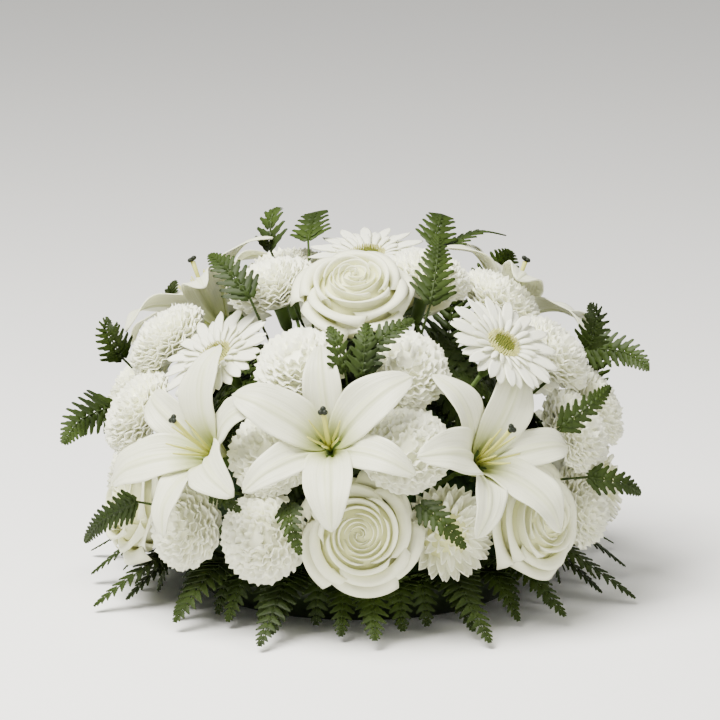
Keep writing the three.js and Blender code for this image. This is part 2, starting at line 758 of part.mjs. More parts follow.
// Fronds among the heads: arched pinnae on stalks that meet in a fork over one stem.
for (const frond of FRONDS) {
  const fork = new THREE.Vector3();
  frond.pinnae.forEach((pinna) => fork.add(pinna.place));
  fork.divideScalar(frond.pinnae.length).sub(STEM_FOCUS).multiplyScalar(FROND_FORK).add(STEM_FOCUS);
  const pieces = frond.pinnae.flatMap((pinna) => {
    const shift = pinna.place.clone().sub(pinna.start);
    const tip = domePoint(...pinna.tip).add(shift);
    const out = pinna.place.clone().sub(STEM_FOCUS).normalize();
    const middle = pinna.place.clone().lerp(tip, 0.5).addScaledVector(out, PINNA_ARCH);
    const midline = new THREE.CatmullRomCurve3([pinna.place, middle, tip]);
    const { width, pairs, face = out } = pinna;
    const leaf = fernBlade(midline, face, width, pairs, LEAFLET_SWEEP, LEAFLET_WEB);
    return [leaf, stalkTo(midline, fork)];
  });
  const stem = stemInto(fork, FROND_STEM_RADIUS);
  addMesh(frond.name, joined([...pieces, stem]), material.fern);
}

// A point round the posy's axis.
function roundPoint(azimuth, radius, height) {
  const a = azimuth * DEGREE;
  return new THREE.Vector3(radius * Math.sin(a), -radius * Math.cos(a), height);
}

const skirtStep = 360 / SKIRT_FRONDS / SKIRT_TIPS.length;
for (let i = 0; i < SKIRT_FRONDS; i++) {
  const middle = SKIRT_FIRST_AZIMUTH + (360 / SKIRT_FRONDS) * i;
  const fork = roundPoint(middle, SKIRT_FORK.radius, SKIRT_FORK.height);
  const pieces = SKIRT_TIPS.flatMap(([radius, height], k) => {
    const azimuth = middle + (k - 0.5) * skirtStep;
    const root = roundPoint(azimuth, SKIRT_ROOT.radius, SKIRT_ROOT.height);
    const midline = new THREE.CatmullRomCurve3([
      root,
      roundPoint(azimuth, SKIRT_BEND.radius, SKIRT_BEND.height),
      roundPoint(azimuth, radius, height),
    ]);
    return [
      fernBlade(midline, UP, SKIRT_HALF_WIDTH, SKIRT_PAIRS, SKIRT_SWEEP, SKIRT_WEB),
      stalkTo(midline, fork),
    ];
  });
  const foot = roundPoint(middle, FOAM_SHOULDER_RADIUS - STEM_DEPTH, SKIRT_FORK.height);
  const solid = joined([...pieces, stemInto(fork, FROND_STEM_RADIUS, foot)]);
  addMesh(`fern_skirt_${i + 1}`, solid, material.fern);
}

// The foam fills the dish and rises to a dome, with a plain hole for each stem.
const FOAM_SIDES = 16;

function foamBlock() {
  const rings = [ring(DISH_BASE_RADIUS - 6, DISH_WALL + FOAM_GAP, FOAM_SIDES)];
  for (const share of [0, 0.4, 0.75]) {
    const angle = share * 90 * DEGREE;
    const height = FOAM_SHOULDER_HEIGHT + (FOAM_TOP - FOAM_SHOULDER_HEIGHT) * Math.sin(angle);
    rings.push(ring(FOAM_SHOULDER_RADIUS * Math.cos(angle), height, FOAM_SIDES));
  }
  const block = ringSolid(
    new THREE.Vector3(0, 0, DISH_WALL + FOAM_GAP),
    rings,
    new THREE.Vector3(0, 0, FOAM_TOP),
  );
  return block.subtract(joined(holes));
}
addMesh("foam", foamBlock(), material.foam);

posy.add(Object.assign(new THREE.Mesh(tray(), material.dish), { name: "dish" }));

export default posy;
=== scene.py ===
"""Sympathy posy: white lilies, roses, gerberas, chrysanthemums and carnations with fern.

Lengths are in millimetres until a piece is finished, and its mesh is then scaled to metres.
The front faces -Y, and the origin is the centre of the dish's underside.
"""

import math
import random

import bmesh
import bpy
from mathutils import Matrix, Vector


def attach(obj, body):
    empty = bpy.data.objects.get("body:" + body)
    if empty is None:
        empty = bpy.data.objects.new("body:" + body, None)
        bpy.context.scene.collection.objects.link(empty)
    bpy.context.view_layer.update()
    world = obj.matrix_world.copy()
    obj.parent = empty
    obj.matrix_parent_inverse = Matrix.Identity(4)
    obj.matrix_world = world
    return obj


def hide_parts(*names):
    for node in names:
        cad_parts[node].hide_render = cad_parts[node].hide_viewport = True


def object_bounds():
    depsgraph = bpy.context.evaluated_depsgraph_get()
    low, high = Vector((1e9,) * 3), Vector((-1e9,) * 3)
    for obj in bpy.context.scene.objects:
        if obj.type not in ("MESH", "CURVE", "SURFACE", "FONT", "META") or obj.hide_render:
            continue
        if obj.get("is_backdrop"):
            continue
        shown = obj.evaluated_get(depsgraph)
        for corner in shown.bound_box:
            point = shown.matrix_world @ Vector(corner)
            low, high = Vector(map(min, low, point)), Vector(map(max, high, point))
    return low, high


bl_info = {
    "name": "Sympathy Posy",
    "version": (1, 0, 0),
    "blender": (4, 5, 0),
    "location": "View3D > Sidebar > Posy",
    "description": "Builds the petals, leaves and stage of a round white sympathy posy",
    "category": "Object",
}

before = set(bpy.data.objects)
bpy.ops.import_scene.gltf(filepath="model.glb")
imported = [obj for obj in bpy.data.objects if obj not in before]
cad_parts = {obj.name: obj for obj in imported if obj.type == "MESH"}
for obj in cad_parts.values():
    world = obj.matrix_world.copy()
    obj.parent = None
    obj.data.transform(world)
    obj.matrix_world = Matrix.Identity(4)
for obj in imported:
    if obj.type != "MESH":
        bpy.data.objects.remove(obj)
CAD_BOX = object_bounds()
MM = 0.001

UP = Vector((0, 0, 1))
GOLDEN_ANGLE = math.radians(137.508)

# The dome that the faces follow
DOME_RADIUS = 192
DOME_RISE = 150
DOME_CENTRE_HEIGHT = 106

# The foam, the point in it that the stems aim at, and how far they go in
FOAM_SHOULDER_RADIUS = 108
FOAM_SHOULDER_HEIGHT = 48
FOAM_TOP = 140
STEM_FOCUS = Vector((0, 0, 30))
STEM_DEPTH = 20
# The steps from the focus in which a stem finds the foam's surface
SEARCH_START = 20
SEARCH_STEP = 0.5
SEARCH_STEPS = 460

# Stems. Forks lie at a share of the way from the focus out to what they carry
STEM_RADIUS = 1.7
SPRAY_STEM_RADIUS = STEM_RADIUS * 0.8
FROND_STEM_RADIUS = 1.1
PINNA_STEM_RADIUS = FROND_STEM_RADIUS * 0.8
STEM_SIDES = 10
FROND_STEM_SIDES = 8
STEM_INTO_HEAD = 0.1
SPRAY_FORK = 0.87
FROND_FORK = 0.64

# Crowded heads are pushed apart in passes, each by a share of what they lack
LOWEST_HEAD = 74
HEAD_SPACING = 1.5
FROND_ROOM = 5
SPREAD_PASSES = 400
SPREAD_SHARE = 0.3
SPRAY_ROLL = 17

# Blooms as (name, azimuth, latitude, roll, lean, scale). A row may end early: the head then
# doesn't lean, and takes its kind's own scale
LILIES = [
    ("lily_front", -8, 18.5, 38),
    ("lily_left", -40, 12.5, 92, (-8, 0)),
    ("lily_right", 30, 11.7, 60, (10, 0)),
    ("lily_back_left", -112, 46, 90),
    ("lily_back_right", 112, 46, 30),
    ("lily_back", 180, 16, 90),
]
ROSES = [
    ("rose_front", 1, -8, 10),
    ("rose_top", -4, 68, 40, (0, -12), 1.04),
    ("rose_right", 47, -10, 70),
    ("rose_left", -72, -13, 20),
    ("rose_back_left", -140, -8, 0),
    ("rose_back", 165, 50, 50),
]
GERBERAS = [
    ("gerbera_top", 180, 70, 18, (0, 28), 0.9),
    ("gerbera_left", -46, 40, 8, (0, 0), 0.86),
    ("gerbera_right", 40, 40, 0),
    ("gerbera_back", -145, 24, 5),
]
CHRYSANTHEMUMS = [
    ("chrysanthemum_front", 24, -13, 10, (0, 0), 0.9),
    ("chrysanthemum_right", 92, -8, 5),
    ("chrysanthemum_back", 180, -16, 10),
]
# Carnation sprays: (name, heads as (azimuth, latitude) or (azimuth, latitude, scale))
CARNATIONS = [
    ("carnations_low_left", [(-47, -15), (-23, -16), (-23, 2, 0.85)]),
    ("carnations_middle", [(11, 15, 0.91), (18, 39, 0.9)]),
    ("carnations_upper_left", [(-26, 41, 0.9), (-57, 66)]),
    ("carnations_top_right", [(62, 70), (82, 52, 0.93)]),
    ("carnations_right", [(68, 34), (62, 10)]),
    ("carnations_low_right", [(70, -16), (86, 14)]),
    ("carnations_left", [(-72, 8), (-77, 32)]),
    ("carnations_back_left", [(-108, 10), (-103, -16)]),
    ("carnations_back", [(-162, -14), (-170, 38, 0.93)]),
    ("carnation_back_top", [(-146, 58, 0.92)]),
    ("carnations_back_right", [(146, -14), (122, -12), (132, 16)]),
]
# Depth from face to calyx base, share of the dome's size, and the room kept round the head
KINDS = {
    "lily": (58, 0.97, 20),
    "rose": (50, 0.99, 39),
    "gerbera": (34, 0.97, 40),
    "chrysanthemum": (34, 0.98, 34),
    "carnation": (46, 0.95, 31),
}
FRONTWARD = Vector((0, -0.9, 0.45))
# Fern fronds: (name, pinnae as (base, tip, half width)), with True after it where a pinna faces
# the front. A base and a tip are (azimuth, latitude, share of the dome's size)
FRONDS = [
    ("fern_top_left", [
        ((-112, 68, 0.96), (-128, 70, 1.14), 12),
        ((-160, 72, 0.96), (-175, 60, 1.14), 12),
    ]),
    ("fern_top_right", [
        ((135, 70, 0.96), (150, 62, 1.13), 12),
        ((128, 65, 0.96), (123, 54, 1.12), 11),
    ]),
    ("fern_upper_left", [((-45, 54, 0.98), (-70, 58, 1.12), 12)]),
    ("fern_centre", [
        ((-3, 36, 0.94), (-8, 47, 1.02), 8),
        ((3, 36, 0.94), (5, 50, 1.02), 10),
        ((8, 38, 0.95), (24, 46, 1.07), 11),
    ]),
    ("fern_upper_right", [((28, 55, 0.97), (50, 70, 1.12), 13)]),
    ("fern_right", [
        ((82, 30, 0.98), (73, 40, 1.14), 10, True),
        ((88, 26, 0.96), (80, 18, 1.17), 12, True),
    ]),
    ("fern_side_right", [((109, 8, 0.9), (106, 28, 1.07), 22)]),
    ("fern_low_right", [
        ((54, 13, 0.96), (66, 20, 1.1), 9),
        ((60, 1, 0.98), (70, -5, 1.12), 9, True),
    ]),
    ("fern_left", [
        ((-90, 24, 0.97), (-78, 34, 1.14), 11, True),
        ((-90, 10, 0.93), (-79, 2, 1.12), 14, True),
    ]),
    ("fern_low_left", [((-57, -9, 0.98), (-74, -22, 1.14), 10, True)]),
    ("fern_middle_left", [
        ((-33, 1, 0.96), (-24, -3, 1.05), 8),
        ((-16, -2, 0.96), (-12, -13, 1.08), 8),
    ]),
    ("fern_middle_right", [((13, -2, 0.96), (21, -12, 1.08), 9)]),
    ("fern_back_right", [
        ((157, 14, 0.9), (157, 30, 1.05), 20),
        ((140, 36, 0.93), (131, 46, 1.1), 14),
    ]),
    ("fern_back_left", [((-124, 22, 0.92), (-122, 38, 1.06), 14)]),
]
PINNA_ARCH = 7
PINNA_WIDENING = 1.35

# Leaflets as (lean towards the tip, spacing along the rib, teeth on an edge)
UPPER_LEAFLETS = (0.6, 5.6, 3)
UNDER_LEAFLETS = (0.5, 8.5, 2)
SKIRT_LEAFLETS = (0.5, 6, 4)
SKIRT_UNDER_LEAFLETS = (0.5, 5.5, 3)

# Dark leaves round each fork, their bends as (distance away from the fork, distance out)
UNDER_LEAVES = 8
UNDER_LEAF_HALF_WIDTH = 25
UNDER_LEAF_BENDS = [(38, 7), (74, -24)]
# The lowest height for a tip, and how far out those of a frond with one pinna start
UNDER_LEAF_FLOOR = 32
UNDER_LEAF_LIFT = 18
# A leaf's outer part keeps this far from the middle of a head, a share of the way to its base
HEAD_CLEARANCE = 42
HEAD_MIDDLE = 0.3
LEAF_SAMPLES = 8
FIRST_LEAF_SAMPLE = 2

# How far a tip may reach past the CAD model's box before it is drawn back
TIP_ALLOWANCE = 2

# The skirt: fronds of pinnae that arch over the dish's rim, as (radius, height)
SKIRT_FRONDS = 8
SKIRT_FIRST_AZIMUTH = -8
SKIRT_FORK = (111, 35)
SKIRT_ROOT = (121, 37)
SKIRT_BEND = (152, 38)
SKIRT_TIPS = [(209, 5), (194, 8)]
SKIRT_HALF_WIDTH = 29
# Shorter pinnae under them, which hang close over the dish's rim, as three such points each
SKIRT_UNDER_HALF_WIDTH = 22
SKIRT_UNDER = [
    ((114, 33), (139, 34), (152, 5)),
    ((113, 32), (146, 34), (184, 7)),
    ((114, 33), (137, 34), (148, 6)),
    ((113, 31), (143, 33), (172, 5)),
    ((114, 33), (136, 33), (150, 5)),
    ((113, 32), (142, 33), (164, 6)),
]


def tint(name, description, default):
    """A colour that a user may change."""
    return bpy.props.FloatVectorProperty(
        name=name, description=description, subtype="COLOR", size=3, min=0, max=1,
        default=default)


class PosyColours(bpy.types.PropertyGroup):
    """Colours of the petals, leaves and dish."""

    lily: tint("Lily", "White of the lily tepals", (0.76, 0.77, 0.58))
    throat: tint("Throat", "Yellow-green in the lily's throat", (0.36, 0.42, 0.05))
    rose: tint("Rose", "Creamy white of the rose petals", (0.84, 0.85, 0.6))
    # Partly the own yellow-green at the petal roots and partly painted shade: on the roses it also
    # stands for the yellowish shade deep between the petals. The carnations and chrysanthemums
    # take it as their own centre colour
    petal_root_and_shade: tint("Rose heart", "Yellow-green low on the inner rose petals", (0.64, 0.65, 0.24))
    carnation: tint("Carnation", "White of the carnation petals", (0.91, 0.92, 0.71))
    chrysanthemum: tint("Chrysanthemum", "White of the chrysanthemum petals", (0.88, 0.89, 0.69))
    gerbera: tint("Gerbera", "White of the gerbera rays", (0.87, 0.88, 0.7))
    disc: tint("Gerbera disc", "Yellow-green of the gerbera disc", (0.24, 0.25, 0.04))
    fringe: tint("Gerbera fringe", "Pale yellow of the disc's outer florets", (0.66, 0.65, 0.27))
    pistil: tint("Pistil", "Pale green of the pistil and filaments", (0.5, 0.5, 0.13))
    stigma: tint("Stigma", "Dark green of the pistil's tip", (0.014, 0.018, 0.01))
    stem: tint("Stem", "Green of the stems and calyxes", (0.09, 0.15, 0.03))
    fern: tint("Fern", "Deep green of the fern", (0.012, 0.022, 0.002))
    fern_light: tint("Fern light", "Lighter green of the younger leaflets", (0.03, 0.052, 0.005))
    foam: tint("Foam", "Green of the wet foam", (0.02, 0.045, 0.012))
    dish: tint("Dish", "Dark green of the dish", (0.012, 0.02, 0.006))


class PosyStage(bpy.types.PropertyGroup):
    """The floor, the lights and the camera."""

    floor_colour: tint("Floor", "Colour of the plain floor", (0.94, 0.94, 0.92))
    sky_strength: bpy.props.FloatProperty(
        name="Sky", description="Strength of the even light", default=0.42, min=0)
    key_power: bpy.props.FloatProperty(
        name="Key light", description="Power of the large soft light", subtype="POWER",
        unit="POWER", default=150, min=0)
    fill_power: bpy.props.FloatProperty(
        name="Fill light", description="Power of the weaker light", subtype="POWER",
        unit="POWER", default=12, min=0)
    elevation: bpy.props.FloatProperty(
        name="Elevation", description="How far above level the camera stands",
        subtype="ANGLE", unit="ROTATION", default=math.radians(12.5))
    distance: bpy.props.FloatProperty(
        name="Distance", description="Camera to the posy's middle", subtype="DISTANCE",
        unit="LENGTH", default=4.0, min=0.1)


# Placing the heads and fronds


def dome_point(azimuth, latitude, scale):
    a, l = math.radians(azimuth), math.radians(latitude)
    reach = scale * DOME_RADIUS * math.cos(l)
    height = DOME_CENTRE_HEIGHT + scale * DOME_RISE * math.sin(l)
    return Vector((reach * math.sin(a), -reach * math.cos(a), height))


def round_point(azimuth, radius, height):
    a = math.radians(azimuth)
    return Vector((radius * math.sin(a), -radius * math.cos(a), height))


def onto_dome(point, scale):
    from_centre = point - Vector((0, 0, DOME_CENTRE_HEIGHT))
    stretched = math.hypot(
        from_centre.x / DOME_RADIUS, from_centre.y / DOME_RADIUS, from_centre.z / DOME_RISE)
    return from_centre * (scale / stretched) + Vector((0, 0, DOME_CENTRE_HEIGHT))


def spread(heads):
    """Pushes crowded heads apart until each keeps its own room."""
    for _ in range(SPREAD_PASSES):
        for i, head in enumerate(heads):
            for other in heads[i + 1:]:
                away = other["place"] - head["place"]
                short = head["room"] + other["room"] + HEAD_SPACING - away.length
                if short <= 0:
                    continue
                away.length = short * SPREAD_SHARE
                other["place"] = other["place"] + away
                head["place"] = head["place"] - away
        for head in heads:
            head["place"].z = max(head["place"].z, LOWEST_HEAD)
            head["place"] = onto_dome(head["place"], head["scale"])


def new_head(kind, name, azimuth, latitude, roll, lean=(0, 0), scale=None):
    depth, own_scale, room = KINDS[kind]
    scale = scale or own_scale
    return {
        "name": name, "kind": kind, "roll": roll, "lean": lean, "depth": depth, "room": room,
        "scale": scale, "place": dome_point(azimuth, latitude, scale),
    }


def place_all():
    """Every single bloom, carnation spray and frond, with its heads or pinnae in place."""
    singles = [
        new_head(kind, *row)
        for kind, rows in (
            ("lily", LILIES), ("rose", ROSES), ("gerbera", GERBERAS),
            ("chrysanthemum", CHRYSANTHEMUMS))
        for row in rows
    ]
    sprays = {
        name: [
            new_head("carnation", name, azimuth, latitude, SPRAY_ROLL * i, (0, 0), *scale)
            for i, (azimuth, latitude, *scale) in enumerate(heads)
        ]
        for name, heads in CARNATIONS
    }
    fronds = {
        name: [
            {"start": dome_point(*base), "place": dome_point(*base), "scale": base[2],
             "room": FROND_ROOM, "tip": tip, "width": width, "front": bool(front)}
            for base, tip, width, *front in pinnae
        ]
        for name, pinnae in FRONDS
    }
    spread(singles + [h for heads in sprays.values() for h in heads]
           + [p for pinnae in fronds.values() for p in pinnae])
    for head in singles + [h for heads in sprays.values() for h in heads]:
        set_frame(head)
    return singles, sprays, fronds


def set_frame(head):
    """The head's own frame: +Z out along the stem, +Y up the dome, leaned about its base."""
    out = (head["place"] - STEM_FOCUS).normalized()
    across = UP.cross(out)
    if across.length < 0.05:
        across = Vector((1, 0, 0))
    across.normalize()
    turn = Matrix((across, out.cross(across), out)).transposed().to_4x4()
    turn.translation = head["place"]
    right, up = (math.radians(angle) for angle in head["lean"])
    base = Vector((0, 0, -head["depth"]))
    head["base"] = turn @ base
    head["frame"] = (turn @ Matrix.Translation(base) @ Matrix.Rotation(right, 4, "Y")
                     @ Matrix.Rotation(-up, 4, "X") @ Matrix.Translation(-base))


def foam_radius(z):
    if z < FOAM_SHOULDER_HEIGHT:
        return FOAM_SHOULDER_RADIUS
    share = (z - FOAM_SHOULDER_HEIGHT) / (FOAM_TOP - FOAM_SHOULDER_HEIGHT)
    return 0 if share >= 1 else FOAM_SHOULDER_RADIUS * math.sqrt(1 - share * share)


def foot_of(point):
    """The stem end in the foam, on the line from a point towards the focus."""
    direction = (point - STEM_FOCUS).normalized()
    flat = math.hypot(direction.x, direction.y)
    best = SEARCH_START
    for step in range(SEARCH_STEPS):
        reach = SEARCH_START + SEARCH_STEP * step
        if flat * reach < foam_radius(STEM_FOCUS.z + direction.z * reach):
            best = reach
    return STEM_FOCUS + direction * (best - STEM_DEPTH)


SINGLES, SPRAYS, PLACED_FRONDS = place_all()
HEADS = SINGLES + [head for spray in SPRAYS.values() for head in spray]


# Shapes that the pieces share
MERGE_DISTANCE = 1e-4


def spline(points, share):
    """A point on a smooth curve through the points, with even steps between them."""
    last = len(points) - 1
    position = last * share
    i = min(int(position), last - 1)
    w = position - i
    before, start = points[max(i - 1, 0)], points[i]
    end, after = points[i + 1], points[min(i + 2, last)]
    if i == 0:
        before = start
    leave, arrive = (end - before) / 2, (after - start) / 2
    return ((2 * start - 2 * end + leave + arrive) * w ** 3
            + (3 * end - 3 * start - 2 * leave - arrive) * w ** 2 + leave * w + start)


def heading(points, share, step=0.01):
    """The direction of that curve at a share of its way."""
    ahead = spline(points, min(share + step, 1)) - spline(points, max(share - step, 0))
    return ahead.normalized()


def sheet(bm, shape, across, along, thickness, slot=0):
    """A petal: a grid moved by shape(u, t), with u from -1 to 1 and t from 0 to 1."""
    made = bmesh.ops.create_grid(
        bm, x_segments=across, y_segments=along, size=1, calc_uvs=True)["verts"]
    for vert in made:
        vert.co = shape(vert.co.x, (vert.co.y + 1) / 2)
    faces = list({face for vert in made for face in vert.link_faces})
    for face in faces:
        face.material_index = slot
        face.smooth = True
        face.normal_update()
    grown = bmesh.ops.extrude_face_region(bm, geom=faces)["geom"]
    back = [vert for vert in grown if isinstance(vert, bmesh.types.BMVert)]
    for vert in back:
        vert.normal_update()
    for vert, step in [(vert, vert.normal * thickness) for vert in back]:
        vert.co += step


def sweep(bm, points, radii, sides, slot=0):
    """A round stem through the points, closed at both ends."""
    frames = []
    for i, point in enumerate(points):
        ahead = points[min(i + 1, len(points) - 1)] - points[max(i - 1, 0)]
        turn = ahead.to_track_quat("Z", "Y").to_matrix().to_4x4()
        turn.translation = point
        frames.append(turn @ Matrix.Diagonal((radii[i], radii[i], 1, 1)))
    ring = bmesh.ops.create_circle(bm, cap_ends=True, segments=sides, radius=1)["verts"]
    faces = set(ring[0].link_faces)
    edges = list({e for v in ring for e in v.link_edges if all(x in ring for x in e.verts)})
    bmesh.ops.transform(bm, matrix=frames[0], verts=ring)
    for before, now in zip(frames, frames[1:]):
        grown = bmesh.ops.extrude_edge_only(bm, edges=edges)["geom"]
        ring = [g for g in grown if isinstance(g, bmesh.types.BMVert)]
        edges = [g for g in grown if isinstance(g, bmesh.types.BMEdge)
                 and all(v in ring for v in g.verts)]
        faces.update(g for g in grown if isinstance(g, bmesh.types.BMFace))
        bmesh.ops.transform(bm, matrix=now @ before.inverted(), verts=ring)
    faces.update(bmesh.ops.edgeloop_fill(bm, edges=edges)["faces"])
    for face in faces:
        face.material_index = slot
        face.smooth = len(face.verts) == 4


def bloom_stem(bm, start, end, radius=STEM_RADIUS):
    sweep(bm, [start, end], [radius] * 2, STEM_SIDES, 1)


def frond_stem(bm, start, end, first_radius=FROND_STEM_RADIUS):
    sweep(bm, [start, end], [first_radius, FROND_STEM_RADIUS], FROND_STEM_SIDES)


def lathe(bm, profile, segments, slot=0, shade=0.9):
    """A turned body from (radius, height) pairs. shade is where it reads its petal colour."""
    verts = [bm.verts.new((r, 0, z)) for r, z in profile]
    edges = [bm.edges.new(pair) for pair in zip(verts, verts[1:])]
    before = set(bm.faces)
    bmesh.ops.spin(
        bm, geom=verts + edges, axis=(0, 0, 1), cent=(0, 0, 0), angle=2 * math.pi,
        steps=segments, use_merge=True)
    faces = [face for face in bm.faces if face not in before]
    bmesh.ops.remove_doubles(
        bm, verts=list({v for face in faces for v in face.verts}), dist=MERGE_DISTANCE)
    uv = bm.loops.layers.uv.verify()
    for face in (face for face in bm.faces if face not in before):
        face.material_index = slot
        face.smooth = True
        for loop in face.loops:
            loop[uv].uv = (0.5, shade)


def turned(shape, angle):
    """The same shape, turned about the head's axis."""
    turn = Matrix.Rotation(angle, 3, "Z")
    return lambda u, t: turn @ shape(u, t)


def as_mesh(bm, name):
    bmesh.ops.recalc_face_normals(bm, faces=bm.faces)
    mesh = bpy.data.meshes.new(name)
    bm.to_mesh(mesh)
    bm.free()
    return mesh


def add_mesh(bm, mesh, matrix):
    """Adds a turned copy of a head's mesh to a piece."""
    copy = mesh.copy()
    copy.transform(matrix)
    bm.from_mesh(copy)
    bpy.data.meshes.remove(copy)


def finish_piece(bm, name, materials, slot, *nodes):
    """Turns a bmesh in millimetres into the object that stands for the CAD nodes."""
    bmesh.ops.scale(bm, vec=(MM, MM, MM), verts=bm.verts)
    draw_inside(bm, name)
    mesh = as_mesh(bm, name)
    for material in materials:
        mesh.materials.append(material)
    piece = bpy.data.objects.new(name, mesh)
    bpy.context.collection.objects.link(piece)
    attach(piece, "root")
    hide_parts(*nodes)


def draw_inside(bm, name):
    """Draws back the few tips that reach a little past the CAD model's box."""
    low, high = (Vector(corner) for corner in CAD_BOX)
    for vert in bm.verts:
        inside = Vector([min(max(c, a), b) for c, a, b in zip(vert.co, low, high)])
        if (vert.co - inside).length > TIP_ALLOWANCE * MM:
            raise RuntimeError(f"{name} reaches too far past the CAD model's box")
        vert.co = inside


def new_bmesh():
    bm = bmesh.new()
    bm.loops.layers.uv.verify()
    return bm


# Materials
SUBSURFACE_RADIUS = (0.8, 0.8, 0.5)
SUBSURFACE_SCALE = 0.003
WHITE = (1, 1, 1)
STREAK_STRETCH = (26, 2.2, 1)
STREAK_TINT = [(0.3, (0.84, 0.86, 0.8)), (0.6, WHITE)]
PETAL_BUMP = 0.0008
# Painted shade: two darker lines across the tepal, in the grooves beside the lily's rib
GROOVE_PAINTED_SHADE = (0.78, 0.82, 0.6)
GROOVE_SHADE_STOPS = [(0.36, WHITE), (0.44, GROOVE_PAINTED_SHADE), (0.5, (0.97, 0.97, 0.9)),
           (0.56, GROOVE_PAINTED_SHADE), (0.64, WHITE)]
GROOVE_SHADE_STRENGTH = 0.6
MOTTLE_RANGE = (0.35, 0.65)
MOTTLE_BUMP_STRENGTH = 0.2
MOTTLE_BUMP = 0.0005


def new_material(name, roughness, subsurface=0.0, sheen=0.0, gloss=0.3):
    material = bpy.data.materials.new(name)
    material.use_nodes = True
    shader = material.node_tree.nodes["Principled BSDF"]
    shader.inputs["Roughness"].default_value = roughness
    shader.inputs["Subsurface Weight"].default_value = subsurface
    shader.inputs["Subsurface Radius"].default_value = SUBSURFACE_RADIUS
    shader.inputs["Subsurface Scale"].default_value = SUBSURFACE_SCALE
    shader.inputs["Sheen Weight"].default_value = sheen
    shader.inputs["Specular IOR Level"].default_value = gloss
    return material, material.node_tree, shader


def ramp(tree, factor, stops):
    """Colours along a factor, from (position, colour) stops."""
    node = tree.nodes.new("ShaderNodeValToRGB")
    elements = node.color_ramp.elements
    while len(elements) < len(stops):
        elements.new(0.5)
    for element, (position, colour) in zip(elements, stops):
        element.position = position
        element.color = (*colour, 1)
    tree.links.new(factor, node.inputs["Fac"])
    return node.outputs["Color"]


def noise(tree, place, scale, detail):
    node = tree.nodes.new("ShaderNodeTexNoise")
    node.inputs["Scale"].default_value = scale
    node.inputs["Detail"].default_value = detail
    tree.links.new(place, node.inputs["Vector"])
    return node.outputs["Fac"]


def multiply(tree, base, over, strength):
    node = tree.nodes.new("ShaderNodeMix")
    node.data_type = "RGBA"
    node.blend_type = "MULTIPLY"
    node.inputs["Factor"].default_value = strength
    tree.links.new(base, node.inputs["A"])
    tree.links.new(over, node.inputs["B"])
    return node.outputs["Result"]


def add_bump(tree, shader, height, strength, distance):
    node = tree.nodes.new("ShaderNodeBump")
    node.inputs["Strength"].default_value = strength
    node.inputs["Distance"].default_value = distance
    tree.links.new(height, node.inputs["Height"])
    tree.links.new(node.outputs["Normal"], shader.inputs["Normal"])


def petal_material(name, colour, base, reach, roughness=0.5, veins=0.15, groove_shade=False):
    """White petal over its own UV: base colour at the root, fading out by reach."""
    material, tree, shader = new_material(name, roughness, subsurface=0.12, sheen=0.1)
    place = tree.nodes.new("ShaderNodeTexCoord").outputs["UV"]
    parts = tree.nodes.new("ShaderNodeSeparateXYZ")
    tree.links.new(place, parts.inputs[0])
    middle = [(a + b) / 2 for a, b in zip(colour, base)]
    fade = ramp(tree, parts.outputs["Y"], [(0, base), (reach * 0.5, middle), (reach, colour)])
    stretch = tree.nodes.new("ShaderNodeMapping")
    stretch.inputs["Scale"].default_value = STREAK_STRETCH
    tree.links.new(place, stretch.inputs["Vector"])
    streaks = noise(tree, stretch.outputs["Vector"], 1.0, 2.0)
    shade = multiply(tree, fade, ramp(tree, streaks, STREAK_TINT), veins)
    # Painted shade: darker lines along the grooves beside the lily's rib
    if groove_shade:
        shade = multiply(tree, shade, ramp(tree, parts.outputs["X"], GROOVE_SHADE_STOPS), GROOVE_SHADE_STRENGTH)
    tree.links.new(shade, shader.inputs["Base Color"])
    add_bump(tree, shader, streaks, veins, PETAL_BUMP)
    return material


def plain_material(name, colour, roughness, other=None, scale=0):
    """One colour, or a soft mottle between two over the object's own coordinates."""
    material, tree, shader = new_material(name, roughness, gloss=0.2)
    if other is None:
        shader.inputs["Base Color"].default_value = (*colour, 1)
        return material
    place = tree.nodes.new("ShaderNodeTexCoord").outputs["Object"]
    mottle = noise(tree, place, scale, 3.0)
    mix = ramp(tree, mottle, list(zip(MOTTLE_RANGE, (colour, other))))
    tree.links.new(mix, shader.inputs["Base Color"])
    add_bump(tree, shader, mottle, MOTTLE_BUMP_STRENGTH, MOTTLE_BUMP)
    return material


def stem_material(colours):
    found = bpy.data.materials.get("stem_green")
    return found or plain_material(
        "stem_green", colours.stem, 0.55, [c * 0.6 for c in colours.stem], 90)


# Lily. A tepal is its path as (distance from the axis, height), and half its full width.
# Here and below, profiles of lathed bodies are (radius, height), and sheets are (faces across,
# faces along, thickness)
INNER_TEPAL = ([Vector(p) for p in ((6, -33), (16, -14), (34, -1), (54, 3), (73, -5))], 17.5)
OUTER_TEPAL = ([Vector(p) for p in ((6, -38), (15, -20), (32, -6), (52, -2), (70, -11))], 13.5)
INNER_TEPAL_SHEET = (18, 20, 0.9)
OUTER_TEPAL_SHEET = (16, 20, 0.9)
TEPAL_TIP_HALF_WIDTH = 0.35
CLAW_SHARE = 0.3
CLAW_HALF_WIDTH = 2.6
TEPAL_CUP = 4.5
TEPAL_RIB_HEIGHT = 0.9
TEPAL_WAVE_HEIGHT = 1.9
TEPAL_WAVES = 2.1
LILY_FUNNEL = [(0, -58), (1.6, -57), (3, -50), (6, -38), (8.3, -28.5), (7, -29.5), (2, -36),
               (0, -36.5)]
PISTIL_PATH = [
    Vector(p) for p in ((0, 0, -34), (0, 1, -22), (0, 3, -8), (0, 6, 4), (0, 8.4, 13))]
PISTIL_RADII = [2.2, 1.7, 1.5, 1.5, 1.8]
